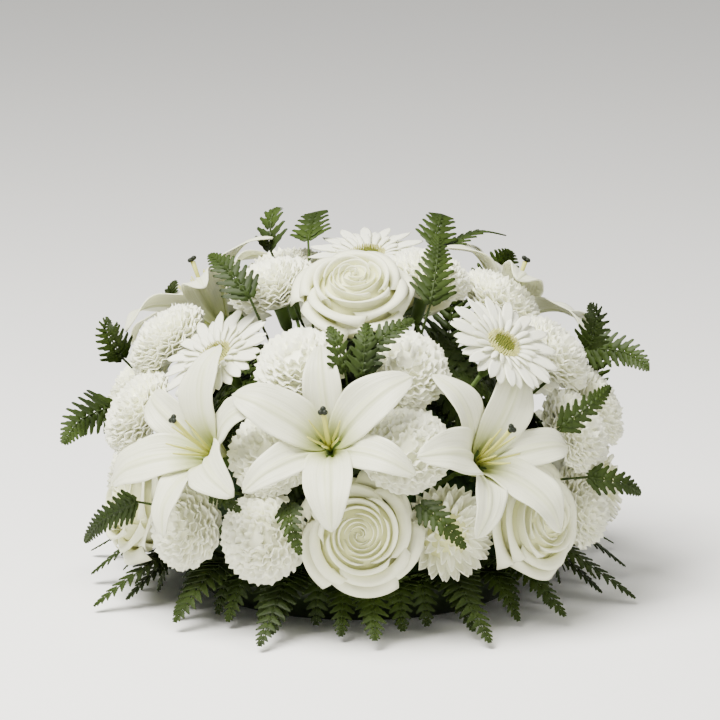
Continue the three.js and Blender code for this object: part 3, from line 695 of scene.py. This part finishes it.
# The stigma has three lobes round its middle, at (y, z), and starts at its lowest height
STIGMA_MIDDLE = (8.9, 14.8)
STIGMA_OFFSET = 1.7
STIGMA_LOBE_RADIUS = 2.2
STIGMA_FLATNESS = 0.8
STIGMA_LOWEST = 12.6
FILAMENTS = 6
FILAMENT_PATH = [(1, -31), (5, -18), (9.5, -6), (12.6, 4)]
FILAMENT_RADII = [1.1, 0.95, 0.75, 0.5]


def tepal(shape, wave):
    line, full = shape

    def point(u, t):
        at = spline(line, t)
        ahead = heading(line, t)
        half = max(
            TEPAL_TIP_HALF_WIDTH, full * max(math.sin(math.pi * t ** 0.95), 0) ** 0.72)
        if t < CLAW_SHARE:
            half = max(half, CLAW_HALF_WIDTH)
        cup = TEPAL_CUP * (1 - t) ** 0.5 - 1.5 * t
        rib = math.exp(-((u / 0.11) ** 2)) - 1.1 * math.exp(-(((abs(u) - 0.27) / 0.13) ** 2))
        rise = cup * u * u + TEPAL_RIB_HEIGHT * rib * (1 - t) ** 0.35
        ripple = math.sin(2 * math.pi * (TEPAL_WAVES * t + wave))
        rise += TEPAL_WAVE_HEIGHT * abs(u) ** 3 * ripple * math.sin(math.pi * t)
        return Vector((at.x - ahead.y * rise, half * u, at.y + ahead.x * rise))

    return point


def lily_mesh(roll):
    bm = new_bmesh()
    for k in range(3):
        outer = math.radians(roll + 60 + 120 * k)
        inner = math.radians(roll + 120 * k)
        sheet(bm, turned(tepal(OUTER_TEPAL, 0.37 * k), outer), *OUTER_TEPAL_SHEET)
        sheet(bm, turned(tepal(INNER_TEPAL, 0.2 + 0.31 * k), inner), *INNER_TEPAL_SHEET)
    lathe(bm, LILY_FUNNEL, 24, slot=1)
    return as_mesh(bm, "lily_head")


def pistil_mesh():
    bm = new_bmesh()
    sweep(bm, PISTIL_PATH, PISTIL_RADII, 10)
    depth, height = STIGMA_MIDDLE
    for k in range(3):
        angle = math.radians(90 + 120 * k)
        lobe = Vector((
            STIGMA_OFFSET * math.cos(angle), depth + STIGMA_OFFSET * math.sin(angle), height))
        bmesh.ops.create_icosphere(
            bm, subdivisions=2, radius=STIGMA_LOBE_RADIUS,
            matrix=Matrix.Translation(lobe) @ Matrix.Diagonal((1, 1, STIGMA_FLATNESS, 1)))
    for face in bm.faces:
        if face.calc_center_median().z > STIGMA_LOWEST:
            face.material_index = 1
            face.smooth = True
    for k in range(FILAMENTS):
        angle = math.radians(30 + 360 / FILAMENTS * k)
        path = [Vector((r * math.cos(angle), r * math.sin(angle), z)) for r, z in FILAMENT_PATH]
        sweep(bm, path, FILAMENT_RADII, 8)
    return as_mesh(bm, "lily_pistil")


# Rose: rows of petals from the heart out, as (count, rim radius, rim height, half angle,
# how far the rim rolls out, how pointed it is, how upright the petal stands)
ROSE_ROWS = [
    (2, 2.2, 1.6, 105, 0.0, 0.0, 1.0),
    (2, 5.0, 1.6, 104, 0.1, 0.2, 1.0),
    (3, 8.8, 1.2, 82, 0.2, 0.4, 1.0),
    (3, 13.2, 0.6, 80, 0.3, 0.6, 1.0),
    (3, 18.4, -0.4, 78, 0.6, 1.0, 0.98),
    (3, 25.0, -2.4, 76, 1.6, 1.5, 0.88),
    (4, 33.0, -8.5, 58, 3.2, 3.2, 0.7),
    (5, 39.0, -14.5, 44, 3.6, 6.0, 0.66),
]
ROSE_ROW_TURN = 47
ROSE_SHEET = (12, 12, 0.4)
ROSE_PETAL_FOOT = -46
ROSE_PETAL_BELLY = -35
ROSE_PETAL_SHOULDER = -18
ROSE_ROLL_START = 0.72
ROSE_EDGE_DROP = 4.5
# A cream cup just under the petal rims, which fills the gaps between the rows and the hole at the
# heart. Its colour is painted shade: the pale yellowish tone of the shade between the petals,
# where the gaps would otherwise render dark
ROSE_SHADE_FILL = [(0, -2.5), (6, -3.5), (12, -5.5), (18, -9), (24, -14), (30, -21), (30, -28),
             (23, -37), (8, -46), (0, -47)]
ROSE_HIP = [(0, -50), (2.5, -49.5), (5.5, -46.5), (6.5, -43), (4, -40), (0, -39)]
SEPALS = 5
SEPAL_SHEET = (4, 6, 0.7)


def rose_petal(rim_radius, rim_height, half_angle, roll_out, point, upright, lean):
    path = [Vector(p) for p in (
        (3 + 0.03 * rim_radius, ROSE_PETAL_FOOT), (0.7 * rim_radius, ROSE_PETAL_BELLY),
        (rim_radius * (0.62 + 0.35 * upright) - 0.4, min(ROSE_PETAL_SHOULDER, rim_height - 11)),
        (rim_radius * (0.6 + 0.35 * upright), rim_height - 5), (rim_radius, rim_height))]

    def shape(u, t):
        at = spline(path, t)
        span = half_angle * (0.62 + 0.38 * math.sin(math.pi * min(t * 0.75 + 0.1, 1)))
        edge = max(t - ROSE_ROLL_START, 0) / 0.28
        fall = edge * edge
        drop = fall * abs(u) ** 2.4 * (ROSE_EDGE_DROP + point)
        radius = at.x + roll_out * fall * (1 - 0.35 * u * u) + lean * u
        height = at.y - drop - 0.75 * roll_out * fall * edge
        angle = math.radians(span) * u
        return Vector((radius * math.cos(angle), radius * math.sin(angle), height))

    return shape


def rose_mesh(roll):
    generator = random.Random(roll + 11)
    bm = new_bmesh()
    for row, petals in enumerate(ROSE_ROWS):
        count, radius, height, half_angle, roll_out, point, upright = petals
        for k in range(count):
            angle = math.radians(
                roll + 360 * k / count + ROSE_ROW_TURN * row + generator.uniform(-7, 7))
            shape = rose_petal(
                radius + generator.uniform(0, 0.03) * radius, height - generator.uniform(0, 1.4),
                half_angle, roll_out * generator.uniform(0.8, 1.2), point, upright,
                1.5 + 0.05 * radius)
            sheet(bm, turned(shape, angle), *ROSE_SHEET)
    # Painted shade: the cream cup that fills the gaps between the rows with the yellowish tone of
    # the shade there
    lathe(bm, ROSE_SHADE_FILL, 24, shade=0.35)
    lathe(bm, ROSE_HIP, 16, slot=1)
    for k in range(SEPALS):
        angle = math.radians(roll + 30 + 360 / SEPALS * k)
        sheet(bm, turned(sepal, angle), *SEPAL_SHEET, slot=1)
    return as_mesh(bm, "rose_head")


def sepal(u, t):
    """A narrow green leaf that hugs the rose's base."""
    half = 3.6 * math.sin(math.pi * min(0.25 + 0.75 * t, 1)) + 0.2
    radius = 5 + 19 * t ** 0.8
    return Vector((radius + 0.8 * u * u, half * u, -47 + 11 * t ** 1.4))


# Carnation: ruffled petals with toothed rims, spread over a flattened ball round a core
CARNATION_PETALS = 92
CARNATION_SHEET = (8, 2, 0.5)
CARNATION_RADIUS = 31.5
CARNATION_RISE = 18
CARNATION_MIDDLE = -12
CARNATION_ROOT = Vector((2.2, -25))
# The cosine of the first petal's tilt, and how far it falls to the last one's
CARNATION_TILTS = (0.995, 1.17)
CARNATION_CORE = [(0, -26), (14, -23), (24, -14), (20, -5), (10, 0), (0, 1)]
CARNATION_CALYX = [(0, -46), (3.4, -45.5), (4.4, -42), (5, -30), (6, -24), (4, -23.5), (0, -24)]
CARNATION_SEEDS = (1, 2, 3)


def carnation_petal(tilt, wave, generator):
    full = generator.uniform(0.93, 1.03)
    reach = Vector((CARNATION_RADIUS * math.sin(tilt) * full,
                    CARNATION_MIDDLE + CARNATION_RISE * math.cos(tilt) * full))
    middle = CARNATION_ROOT.lerp(reach, 0.55) + Vector((-1.5, 1.5))
    path = [CARNATION_ROOT, middle, reach]
    half = 6.2 + 4.3 * math.sin(min(tilt, math.pi / 2))
    teeth = [generator.uniform(-0.8, 0.8) for _ in range(9)]
    wild = generator.uniform(0.8, 1.2)

    def point(u, t):
        at = spline(path, t)
        ahead = heading(path, t)
        fan = 0.16 + 0.84 * t ** 1.3
        step = round((u + 1) * 4)
        ruffle = (0.5 if step % 2 else -0.5) * t ** 3
        ruffle += wild * 1.5 * t * t * math.sin(math.pi * (1.9 * u + wave))
        along = -2.2 * u * u * t + (2.0 * (step % 2) + teeth[step]) * max(t - 0.6, 0) * 2.5
        return Vector((at.x + ahead.x * along - ahead.y * ruffle, half * fan * u,
                       at.y + ahead.y * along + ahead.x * ruffle))

    return point


def carnation_mesh(seed):
    generator = random.Random(seed)
    bm = new_bmesh()
    for k in range(CARNATION_PETALS):
        share = (k + 0.5) / CARNATION_PETALS
        tilt = math.acos(CARNATION_TILTS[0] - CARNATION_TILTS[1] * share)
        shape = carnation_petal(tilt, generator.random() * 2, generator)
        sheet(bm, turned(shape, k * GOLDEN_ANGLE), *CARNATION_SHEET)
    lathe(bm, CARNATION_CORE, 16)
    lathe(bm, CARNATION_CALYX, 14, slot=1)
    return as_mesh(bm, "carnation_head")


# Chrysanthemum: narrow petals over a flattened ball, curling in at the heart
CHRYSANTHEMUM_PETALS = 84
CHRYSANTHEMUM_SHEET = (4, 6, 0.5)
CHRYSANTHEMUM_RADIUS = 34.5
CHRYSANTHEMUM_RISE = 17
CHRYSANTHEMUM_MIDDLE = -13
CHRYSANTHEMUM_ROOT = Vector((1.5, -19))
CHRYSANTHEMUM_TILTS = (0.98, 1.12)
CHRYSANTHEMUM_CORE = [(0, -24), (12, -21), (20, -15), (17, -8), (8, -2), (5, 1), (0, 2)]
CHRYSANTHEMUM_CALYX = [(0, -34), (3, -33), (7, -28), (10, -22), (6, -19), (0, -18)]


def chrysanthemum_petal(tilt, lift):
    reach = Vector((CHRYSANTHEMUM_RADIUS * math.sin(tilt),
                    CHRYSANTHEMUM_MIDDLE + CHRYSANTHEMUM_RISE * math.cos(tilt)))
    bend = 2.5 if tilt > 1 else -1.5
    middle = CHRYSANTHEMUM_ROOT.lerp(reach, 0.5) + Vector((bend, -bend - lift))
    path = [CHRYSANTHEMUM_ROOT, middle, reach]
    half = 2.4 + 2.2 * math.sin(min(tilt, math.pi / 2)) ** 2

    def point(u, t):
        at = spline(path, t)
        ahead = heading(path, t)
        width = half * min(0.4 + 0.8 * t, 1.0) * max(1 - max(t - 0.62, 0) ** 1.6 / 0.213, 0.04)
        rise = 1.7 * u * u * (1 - 0.3 * t) - 0.5 * math.exp(-((u / 0.3) ** 2))
        return Vector((at.x - ahead.y * rise, width * u, at.y + ahead.x * rise))

    return point


def chrysanthemum_mesh(roll):
    generator = random.Random(roll)
    bm = new_bmesh()
    for k in range(CHRYSANTHEMUM_PETALS):
        share = (k + 0.5) / CHRYSANTHEMUM_PETALS
        tilt = math.acos(CHRYSANTHEMUM_TILTS[0] - CHRYSANTHEMUM_TILTS[1] * share)
        shape = chrysanthemum_petal(tilt, generator.uniform(-1, 1.5))
        sheet(bm, turned(shape, k * GOLDEN_ANGLE + math.radians(roll)), *CHRYSANTHEMUM_SHEET)
    lathe(bm, CHRYSANTHEMUM_CORE, 16, shade=0.1)
    lathe(bm, CHRYSANTHEMUM_CALYX, 16, slot=1)
    return as_mesh(bm, "chrysanthemum_head")


# Gerbera: two rows of long rays and a row of short ones round a disc of small florets
GERBERA_RADIUS = 43.5
GERBERA_RAYS = 15
RAY_SHEET = (6, 10, 0.6)
RAY_ROOT = 8
SHORT_RAYS = 20
SHORT_RAY_REACH = 26
SHORT_RAY_SHEET = (4, 7, 0.6)
GERBERA_CALYX = [(0, -34), (3, -33), (8, -12), (11, -6), (10, -1), (7, 0.6), (0, 1)]
FLORETS = 170
FLORET_DEPTH = 3.4
DISC_RADIUS = 12.8
# From this radius out the florets are the fringe, which stands higher
FRINGE_START = 8
FRINGE_LIFT = 1.2
# Which faces are florets: those inside a radius, above a height and under an area
FLORET_FACES = (13.6, -0.9, 2.4)


def gerbera_ray(length, height, half, twist):
    def point(u, t):
        width = half * (0.35 + 0.65 * math.sin(math.pi * min(0.1 + t * 0.6, 1)))
        width *= math.sqrt(max(1 - max(t - 0.7, 0) ** 2 / 0.0915, 0.03))
        radius = RAY_ROOT + (length - RAY_ROOT) * t
        rise = -2.5 + height * t + 2.2 * math.sin(math.pi * t)
        groove = 0.5 * math.cos(3 * math.pi * u) * (1 - t * 0.5) + twist * u * t
        return Vector((radius, width * u, rise + groove))

    return point


def gerbera_mesh(roll):
    generator = random.Random(roll + 3)
    bm = new_bmesh()
    for k in range(2 * GERBERA_RAYS):
        step = math.radians(roll + 180 * k / GERBERA_RAYS)
        under = k % 2
        shape = gerbera_ray(GERBERA_RADIUS - generator.uniform(0, 1.5) - 2.5 * under,
                            4.2 - 3.0 * under, 4.2, generator.uniform(-0.8, 0.8))
        sheet(bm, turned(shape, step), *RAY_SHEET)
    for k in range(SHORT_RAYS):
        step = math.radians(roll + 8 + 360 * k / SHORT_RAYS)
        shape = gerbera_ray(
            SHORT_RAY_REACH + generator.uniform(-3, 2), 6, 2.1, generator.uniform(-1, 1))
        sheet(bm, turned(shape, step), *SHORT_RAY_SHEET)
    lathe(bm, GERBERA_CALYX, 20, slot=1)
    for k in range(FLORETS):
        radius = DISC_RADIUS * math.sqrt((k + 0.5) / FLORETS)
        angle = k * GOLDEN_ANGLE
        height = 1.4 - 0.01 * radius ** 2 + (FRINGE_LIFT if radius > FRINGE_START else 0)
        place = (radius * math.cos(angle), radius * math.sin(angle), height)
        bmesh.ops.create_cone(
            bm, cap_ends=True, segments=5, radius1=0.7, radius2=0.25, depth=FLORET_DEPTH,
            matrix=Matrix.Translation(place))
    mark_florets(bm)
    return as_mesh(bm, "gerbera_head")


def mark_florets(bm):
    """The florets take the disc's finish, and the outer ones the fringe's."""
    within, above, area = FLORET_FACES
    for face in bm.faces:
        middle = face.calc_center_median()
        radius = math.hypot(middle.x, middle.y)
        if middle.z > above and radius < within and face.calc_area() < area:
            face.material_index = 2 if radius < FRINGE_START else 3


# Fern
LEAFLET_CROWDING = 1.15
LEAFLET_FULLNESS = 0.62
LEAFLET_THICKNESS = 0.45
LEAFLET_LEAST_HALF_WIDTH = 0.15
NOTCH_WIDTH = 0.82
NOTCH_LEAN = 0.55
LENGTH_STEPS = 12
RIB_STEPS = 6


def fern_leaf(bm, points, face, half_width, leaflets):
    """A leaf cut to its rib into pairs of toothed leaflets, shorter towards the tip."""
    lean, spacing, teeth = leaflets
    steps = [spline(points, i / LENGTH_STEPS) for i in range(LENGTH_STEPS + 1)]
    length = sum((a - b).length for a, b in zip(steps, steps[1:]))
    pairs = round(length / spacing * LEAFLET_CROWDING)
    shares = [1 - (1 - (i + 0.25) / (pairs + 0.4)) ** 1.3 for i in range(pairs + 1)]
    for share, after in zip(shares, shares[1:]):
        at = spline(points, share)
        ahead = heading(points, share, 0.02)
        side = ahead.cross(face).normalized()
        up = side.cross(ahead)
        reach = half_width * (1 - share) ** 0.8
        room = length * (after - share)
        for hand in (1, -1):
            out = side * hand * reach + ahead * (lean * reach + 0.4 * room)
            leaflet(bm, at, out, up, room * LEAFLET_FULLNESS, teeth)
    end = spline(points, shares[-2])
    leaflet(bm, end, spline(points, 1) - end, face, length * (1 - shares[-2]) * 0.3, teeth)
    rib = [spline(points, i / RIB_STEPS) for i in range(RIB_STEPS + 1)]
    sweep(bm, rib, [0.85 - 0.08 * i for i in range(RIB_STEPS + 1)], 5)


def leaflet(bm, root, out, up, half, teeth):
    """One pointed leaflet whose toothed edges lean to its tip, drooping a little."""
    reach = out.length
    axis = out / reach
    across = up.cross(axis).normalized()
    rows = 2 * teeth

    def point(u, t):
        row = round(t * rows)
        width = max(half * (1 - t ** 1.7), LEAFLET_LEAST_HALF_WIDTH)
        along = t
        if row % 2:
            along += NOTCH_LEAN / rows * abs(u)
        elif 0 < row < rows:
            width *= NOTCH_WIDTH
        droop = 0.25 * half * abs(u) - 0.07 * reach * t * t
        return root + axis * (reach * along) + across * (width * u) + up * droop

    sheet(bm, point, 2, rows, LEAFLET_THICKNESS)


# Operators, one for each group of like pieces


class POSY_OT_lilies(bpy.types.Operator):
    """Builds the lilies with their pistils"""

    bl_idname = "posy.lilies"
    bl_label = "Lilies"

    def execute(self, context):
        colours = context.scene.posy_colours
        white = petal_material("lily_white", colours.lily, colours.throat, 0.36,
                               roughness=0.42, veins=0.6, groove_shade=True)
        green = stem_material(colours)
        pale = plain_material("pistil_green", colours.pistil, 0.5)
        dark = plain_material("stigma_green", colours.stigma, 0.45)
        for head in (h for h in SINGLES if h["kind"] == "lily"):
            bm = new_bmesh()
            add_mesh(bm, lily_mesh(head["roll"]), head["frame"])
            bloom_stem(bm, head["base"], foot_of(head["base"]))
            finish_piece(bm, head["name"] + "_bloom", [white, green], "lily", head["name"])
            bm = new_bmesh()
            add_mesh(bm, pistil_mesh(), head["frame"])
            node = head["name"] + "_pistil"
            finish_piece(bm, node + "_fine", [pale, dark], "pistil", node)
        return {"FINISHED"}


def build_singles(kind, make, materials):
    for head in (h for h in SINGLES if h["kind"] == kind):
        bm = new_bmesh()
        add_mesh(bm, make(head["roll"]), head["frame"])
        inside = head["base"] + (head["place"] - head["base"]) * STEM_INTO_HEAD
        bloom_stem(bm, inside, foot_of(head["base"]))
        finish_piece(bm, head["name"] + "_bloom", materials, kind, head["name"])


class POSY_OT_roses(bpy.types.Operator):
    """Builds the roses"""

    bl_idname = "posy.roses"
    bl_label = "Roses"

    def execute(self, context):
        colours = context.scene.posy_colours
        # The yellow-green low on each petal is partly the rose's own tint at its root and partly
        # painted shade, the yellowish shade deep between the petals
        cream = petal_material("rose_cream", colours.rose, colours.petal_root_and_shade, 0.8, 0.5)
        build_singles("rose", rose_mesh, [cream, stem_material(colours)])
        return {"FINISHED"}


class POSY_OT_gerberas(bpy.types.Operator):
    """Builds the gerberas"""

    bl_idname = "posy.gerberas"
    bl_label = "Gerberas"

    def execute(self, context):
        colours = context.scene.posy_colours
        white = petal_material("gerbera_white", colours.gerbera, colours.throat, 0.12)
        disc = plain_material("gerbera_disc", colours.disc, 0.7)
        fringe = plain_material("gerbera_fringe", colours.fringe, 0.7)
        build_singles("gerbera", gerbera_mesh, [white, stem_material(colours), disc, fringe])
        return {"FINISHED"}


class POSY_OT_chrysanthemums(bpy.types.Operator):
    """Builds the chrysanthemums"""

    bl_idname = "posy.chrysanthemums"
    bl_label = "Chrysanthemums"

    def execute(self, context):
        colours = context.scene.posy_colours
        white = petal_material("chrysanthemum_white", colours.chrysanthemum, colours.petal_root_and_shade,
                               0.45)
        build_singles("chrysanthemum", chrysanthemum_mesh, [white, stem_material(colours)])
        return {"FINISHED"}


class POSY_OT_carnations(bpy.types.Operator):
    """Builds the sprays of carnations"""

    bl_idname = "posy.carnations"
    bl_label = "Carnations"

    def execute(self, context):
        colours = context.scene.posy_colours
        white = petal_material("carnation_white", colours.carnation, colours.petal_root_and_shade, 0.5)
        materials = [white, stem_material(colours)]
        meshes = [carnation_mesh(seed) for seed in CARNATION_SEEDS]
        count = 0
        for name, heads in SPRAYS.items():
            bm = new_bmesh()
            fork = sum((head["base"] for head in heads), Vector()) / len(heads)
            fork = STEM_FOCUS + (fork - STEM_FOCUS) * SPRAY_FORK
            for head in heads:
                turn = head["frame"] @ Matrix.Rotation(math.radians(head["roll"]), 4, "Z")
                add_mesh(bm, meshes[count % len(meshes)], turn)
                count += 1
                bloom_stem(bm, head["base"], fork, SPRAY_STEM_RADIUS)
            bloom_stem(bm, fork, foot_of(fork))
            finish_piece(bm, name + "_blooms", materials, "carnation", name)
        return {"FINISHED"}


class POSY_OT_fern(bpy.types.Operator):
    """Builds the fern among the blooms and the skirt of fronds under them"""

    bl_idname = "posy.fern"
    bl_label = "Fern"

    def execute(self, context):
        colours = context.scene.posy_colours
        green = plain_material("fern_green", colours.fern, 0.55, colours.fern_light, 22)
        for name, pinnae in PLACED_FRONDS.items():
            bm = new_bmesh()
            fork = sum((pinna["place"] for pinna in pinnae), Vector()) / len(pinnae)
            fork = STEM_FOCUS + (fork - STEM_FOCUS) * FROND_FORK
            for pinna in pinnae:
                place = pinna["place"]
                tip = dome_point(*pinna["tip"]) + place - pinna["start"]
                out = (place - STEM_FOCUS).normalized()
                middle = place.lerp(tip, 0.5) + out * PINNA_ARCH
                face = FRONTWARD if pinna["front"] else out
                fern_leaf(bm, [place, middle, tip], face, pinna["width"] * PINNA_WIDENING,
                          UPPER_LEAFLETS)
                frond_stem(bm, place, fork, PINNA_STEM_RADIUS)
            frond_stem(bm, fork, foot_of(fork))
            lift = UNDER_LEAF_LIFT if len(pinnae) == 1 else 0
            self.under_leaves(bm, fork + (fork - STEM_FOCUS).normalized() * lift)
            finish_piece(bm, name + "_leaves", [green], "fern", name)
        for i in range(SKIRT_FRONDS):
            self.skirt_frond(i, green)
        return {"FINISHED"}

    def under_leaves(self, bm, fork):
        """Short leaves spread round the fork, which close the gaps under the blooms."""
        out = (fork - STEM_FOCUS).normalized()
        across = out.orthogonal().normalized()
        for k in range(UNDER_LEAVES):
            away = Matrix.Rotation(2 * math.pi * k / UNDER_LEAVES, 3, out) @ across
            points = [fork] + [fork + away * far + out * rise for far, rise in UNDER_LEAF_BENDS]
            if points[-1].z > UNDER_LEAF_FLOOR and self.is_free(points):
                fern_leaf(bm, points, out, UNDER_LEAF_HALF_WIDTH, UNDER_LEAFLETS)

    def is_free(self, points):
        """Whether a leaf along the points keeps clear of every bloom's head."""
        middles = [head["place"].lerp(head["base"], HEAD_MIDDLE) for head in HEADS]
        samples = [spline(points, i / LEAF_SAMPLES)
                   for i in range(FIRST_LEAF_SAMPLE, LEAF_SAMPLES + 1)]
        return all((at - middle).length > HEAD_CLEARANCE for middle in middles for at in samples)

    def fan(self, middle, count):
        """Azimuths of the pinnae in one frond's share of the skirt."""
        share = 360 / SKIRT_FRONDS
        return [middle + (k - (count - 1) / 2) * share / count for k in range(count)]

    def skirt_frond(self, i, green):
        bm = new_bmesh()
        middle = SKIRT_FIRST_AZIMUTH + 360 / SKIRT_FRONDS * i
        fork = round_point(middle, *SKIRT_FORK)
        for azimuth, tip in zip(self.fan(middle, len(SKIRT_TIPS)), SKIRT_TIPS):
            points = [round_point(azimuth, *place) for place in (SKIRT_ROOT, SKIRT_BEND, tip)]
            fern_leaf(bm, points, UP, SKIRT_HALF_WIDTH, SKIRT_LEAFLETS)
            frond_stem(bm, points[0], fork)
        for azimuth, places in zip(self.fan(middle, len(SKIRT_UNDER)), SKIRT_UNDER):
            points = [round_point(azimuth, *place) for place in places]
            fern_leaf(bm, points, UP, SKIRT_UNDER_HALF_WIDTH, SKIRT_UNDER_LEAFLETS)
        frond_stem(bm, fork, round_point(
            middle, FOAM_SHOULDER_RADIUS - STEM_DEPTH, SKIRT_FORK[1]))
        name = f"fern_skirt_{i + 1}"
        finish_piece(bm, name + "_leaves", [green], "fern", name)


DISH_PROFILE = [(0, 0), (110.5, 0), (112, 1), (121, 14.3), (124, 25.4), (123, 26), (121.9, 26),
                (118.6, 14.3), (111, 2.4), (0, 2.4)]


class POSY_OT_dish(bpy.types.Operator):
    """Builds the round dish and finishes the foam"""

    bl_idname = "posy.dish"
    bl_label = "Dish and foam"

    def execute(self, context):
        colours = context.scene.posy_colours
        bm = new_bmesh()
        lathe(bm, DISH_PROFILE, 96)
        finish_piece(bm, "dish_round", [plain_material("dish_green", colours.dish, 0.35)],
                     "dish", "dish")
        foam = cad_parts["foam"]
        wet = plain_material(
            "wet_foam", colours.foam, 0.9, [c * 1.8 for c in colours.foam], 220)
        foam.data.materials.clear()
        foam.data.materials.append(wet)
        return {"FINISHED"}


# The stage, in metres
FLOOR_HALF_SIDE = 6
SKY_COLOUR = (1, 0.99, 0.97, 1)
LAMP_COLOUR = (1, 0.975, 0.93)
LAMP_SIDE = 1.2
LAMP_TARGET = Vector((0, 0, 0.12))
KEY_PLACE = (-0.7, -0.55, 1.9)
FILL_PLACE = (1.4, -1.2, 0.8)
CAMERA_TARGET = Vector((0.0007, 0, 0.1638))
VIEW_WIDTH = 0.518
SENSOR_WIDTH = 36


class POSY_OT_stage(bpy.types.Operator):
    """Sets the floor, the soft lights and the camera"""

    bl_idname = "posy.stage"
    bl_label = "Stage"

    def execute(self, context):
        stage = context.scene.posy_stage
        bm = bmesh.new()
        bmesh.ops.create_grid(bm, x_segments=1, y_segments=1, size=FLOOR_HALF_SIDE)
        floor = bpy.data.objects.new("floor", as_mesh(bm, "floor"))
        floor.data.materials.append(plain_material("floor_pale", stage.floor_colour, 0.8))
        context.collection.objects.link(floor)
        floor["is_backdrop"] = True
        world = bpy.data.worlds.new("studio")
        world.use_nodes = True
        sky = world.node_tree.nodes["Background"]
        sky.inputs["Color"].default_value = SKY_COLOUR
        sky.inputs["Strength"].default_value = stage.sky_strength
        context.scene.world = world
        self.area_light(context, "key", KEY_PLACE, stage.key_power)
        self.area_light(context, "fill", FILL_PLACE, stage.fill_power)
        self.camera(context, stage)
        return {"FINISHED"}

    def area_light(self, context, name, place, power):
        data = bpy.data.lights.new(name, "AREA")
        data.size = LAMP_SIDE
        data.energy = power
        data.color = LAMP_COLOUR
        lamp = bpy.data.objects.new(name, data)
        lamp.location = place
        aim = LAMP_TARGET - Vector(place)
        lamp.rotation_euler = aim.to_track_quat("-Z", "Y").to_euler()
        context.collection.objects.link(lamp)

    def camera(self, context, stage):
        data = bpy.data.cameras.new("camera")
        data.sensor_width = SENSOR_WIDTH
        data.lens = SENSOR_WIDTH * stage.distance / VIEW_WIDTH
        camera = bpy.data.objects.new("camera", data)
        away = Vector((0, -math.cos(stage.elevation), math.sin(stage.elevation)))
        camera.location = CAMERA_TARGET + away * stage.distance
        camera.rotation_euler = (-away).to_track_quat("-Z", "Y").to_euler()
        context.collection.objects.link(camera)
        context.scene.camera = camera


class POSY_PT_panel(bpy.types.Panel):
    """Lists the posy's operators and settings"""

    bl_idname = "POSY_PT_panel"
    bl_label = "Posy"
    bl_space_type = "VIEW_3D"
    bl_region_type = "UI"
    bl_category = "Posy"

    def draw(self, context):
        for operator in OPERATORS:
            self.layout.operator(operator.bl_idname)
        for group in (context.scene.posy_colours, context.scene.posy_stage):
            for name in group.__annotations__:
                self.layout.prop(group, name)


OPERATORS = (
    POSY_OT_dish,
    POSY_OT_lilies,
    POSY_OT_roses,
    POSY_OT_gerberas,
    POSY_OT_chrysanthemums,
    POSY_OT_carnations,
    POSY_OT_fern,
    POSY_OT_stage,
)
CLASSES = (PosyColours, PosyStage, *OPERATORS, POSY_PT_panel)


def register():
    for cls in CLASSES:
        bpy.utils.register_class(cls)
    bpy.types.Scene.posy_colours = bpy.props.PointerProperty(type=PosyColours)
    bpy.types.Scene.posy_stage = bpy.props.PointerProperty(type=PosyStage)


def unregister():
    del bpy.types.Scene.posy_stage
    del bpy.types.Scene.posy_colours
    for cls in reversed(CLASSES):
        bpy.utils.unregister_class(cls)


def main():
    register()
    bpy.ops.posy.dish()
    bpy.ops.posy.lilies()
    bpy.ops.posy.roses()
    bpy.ops.posy.gerberas()
    bpy.ops.posy.chrysanthemums()
    bpy.ops.posy.carnations()
    bpy.ops.posy.fern()
    bpy.ops.posy.stage()
    as_lists = lambda box: [[float(x) for x in corner] for corner in box]
    {"cad": as_lists(CAD_BOX), "visual": as_lists(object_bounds())}


if __name__ == "__main__":
    main()
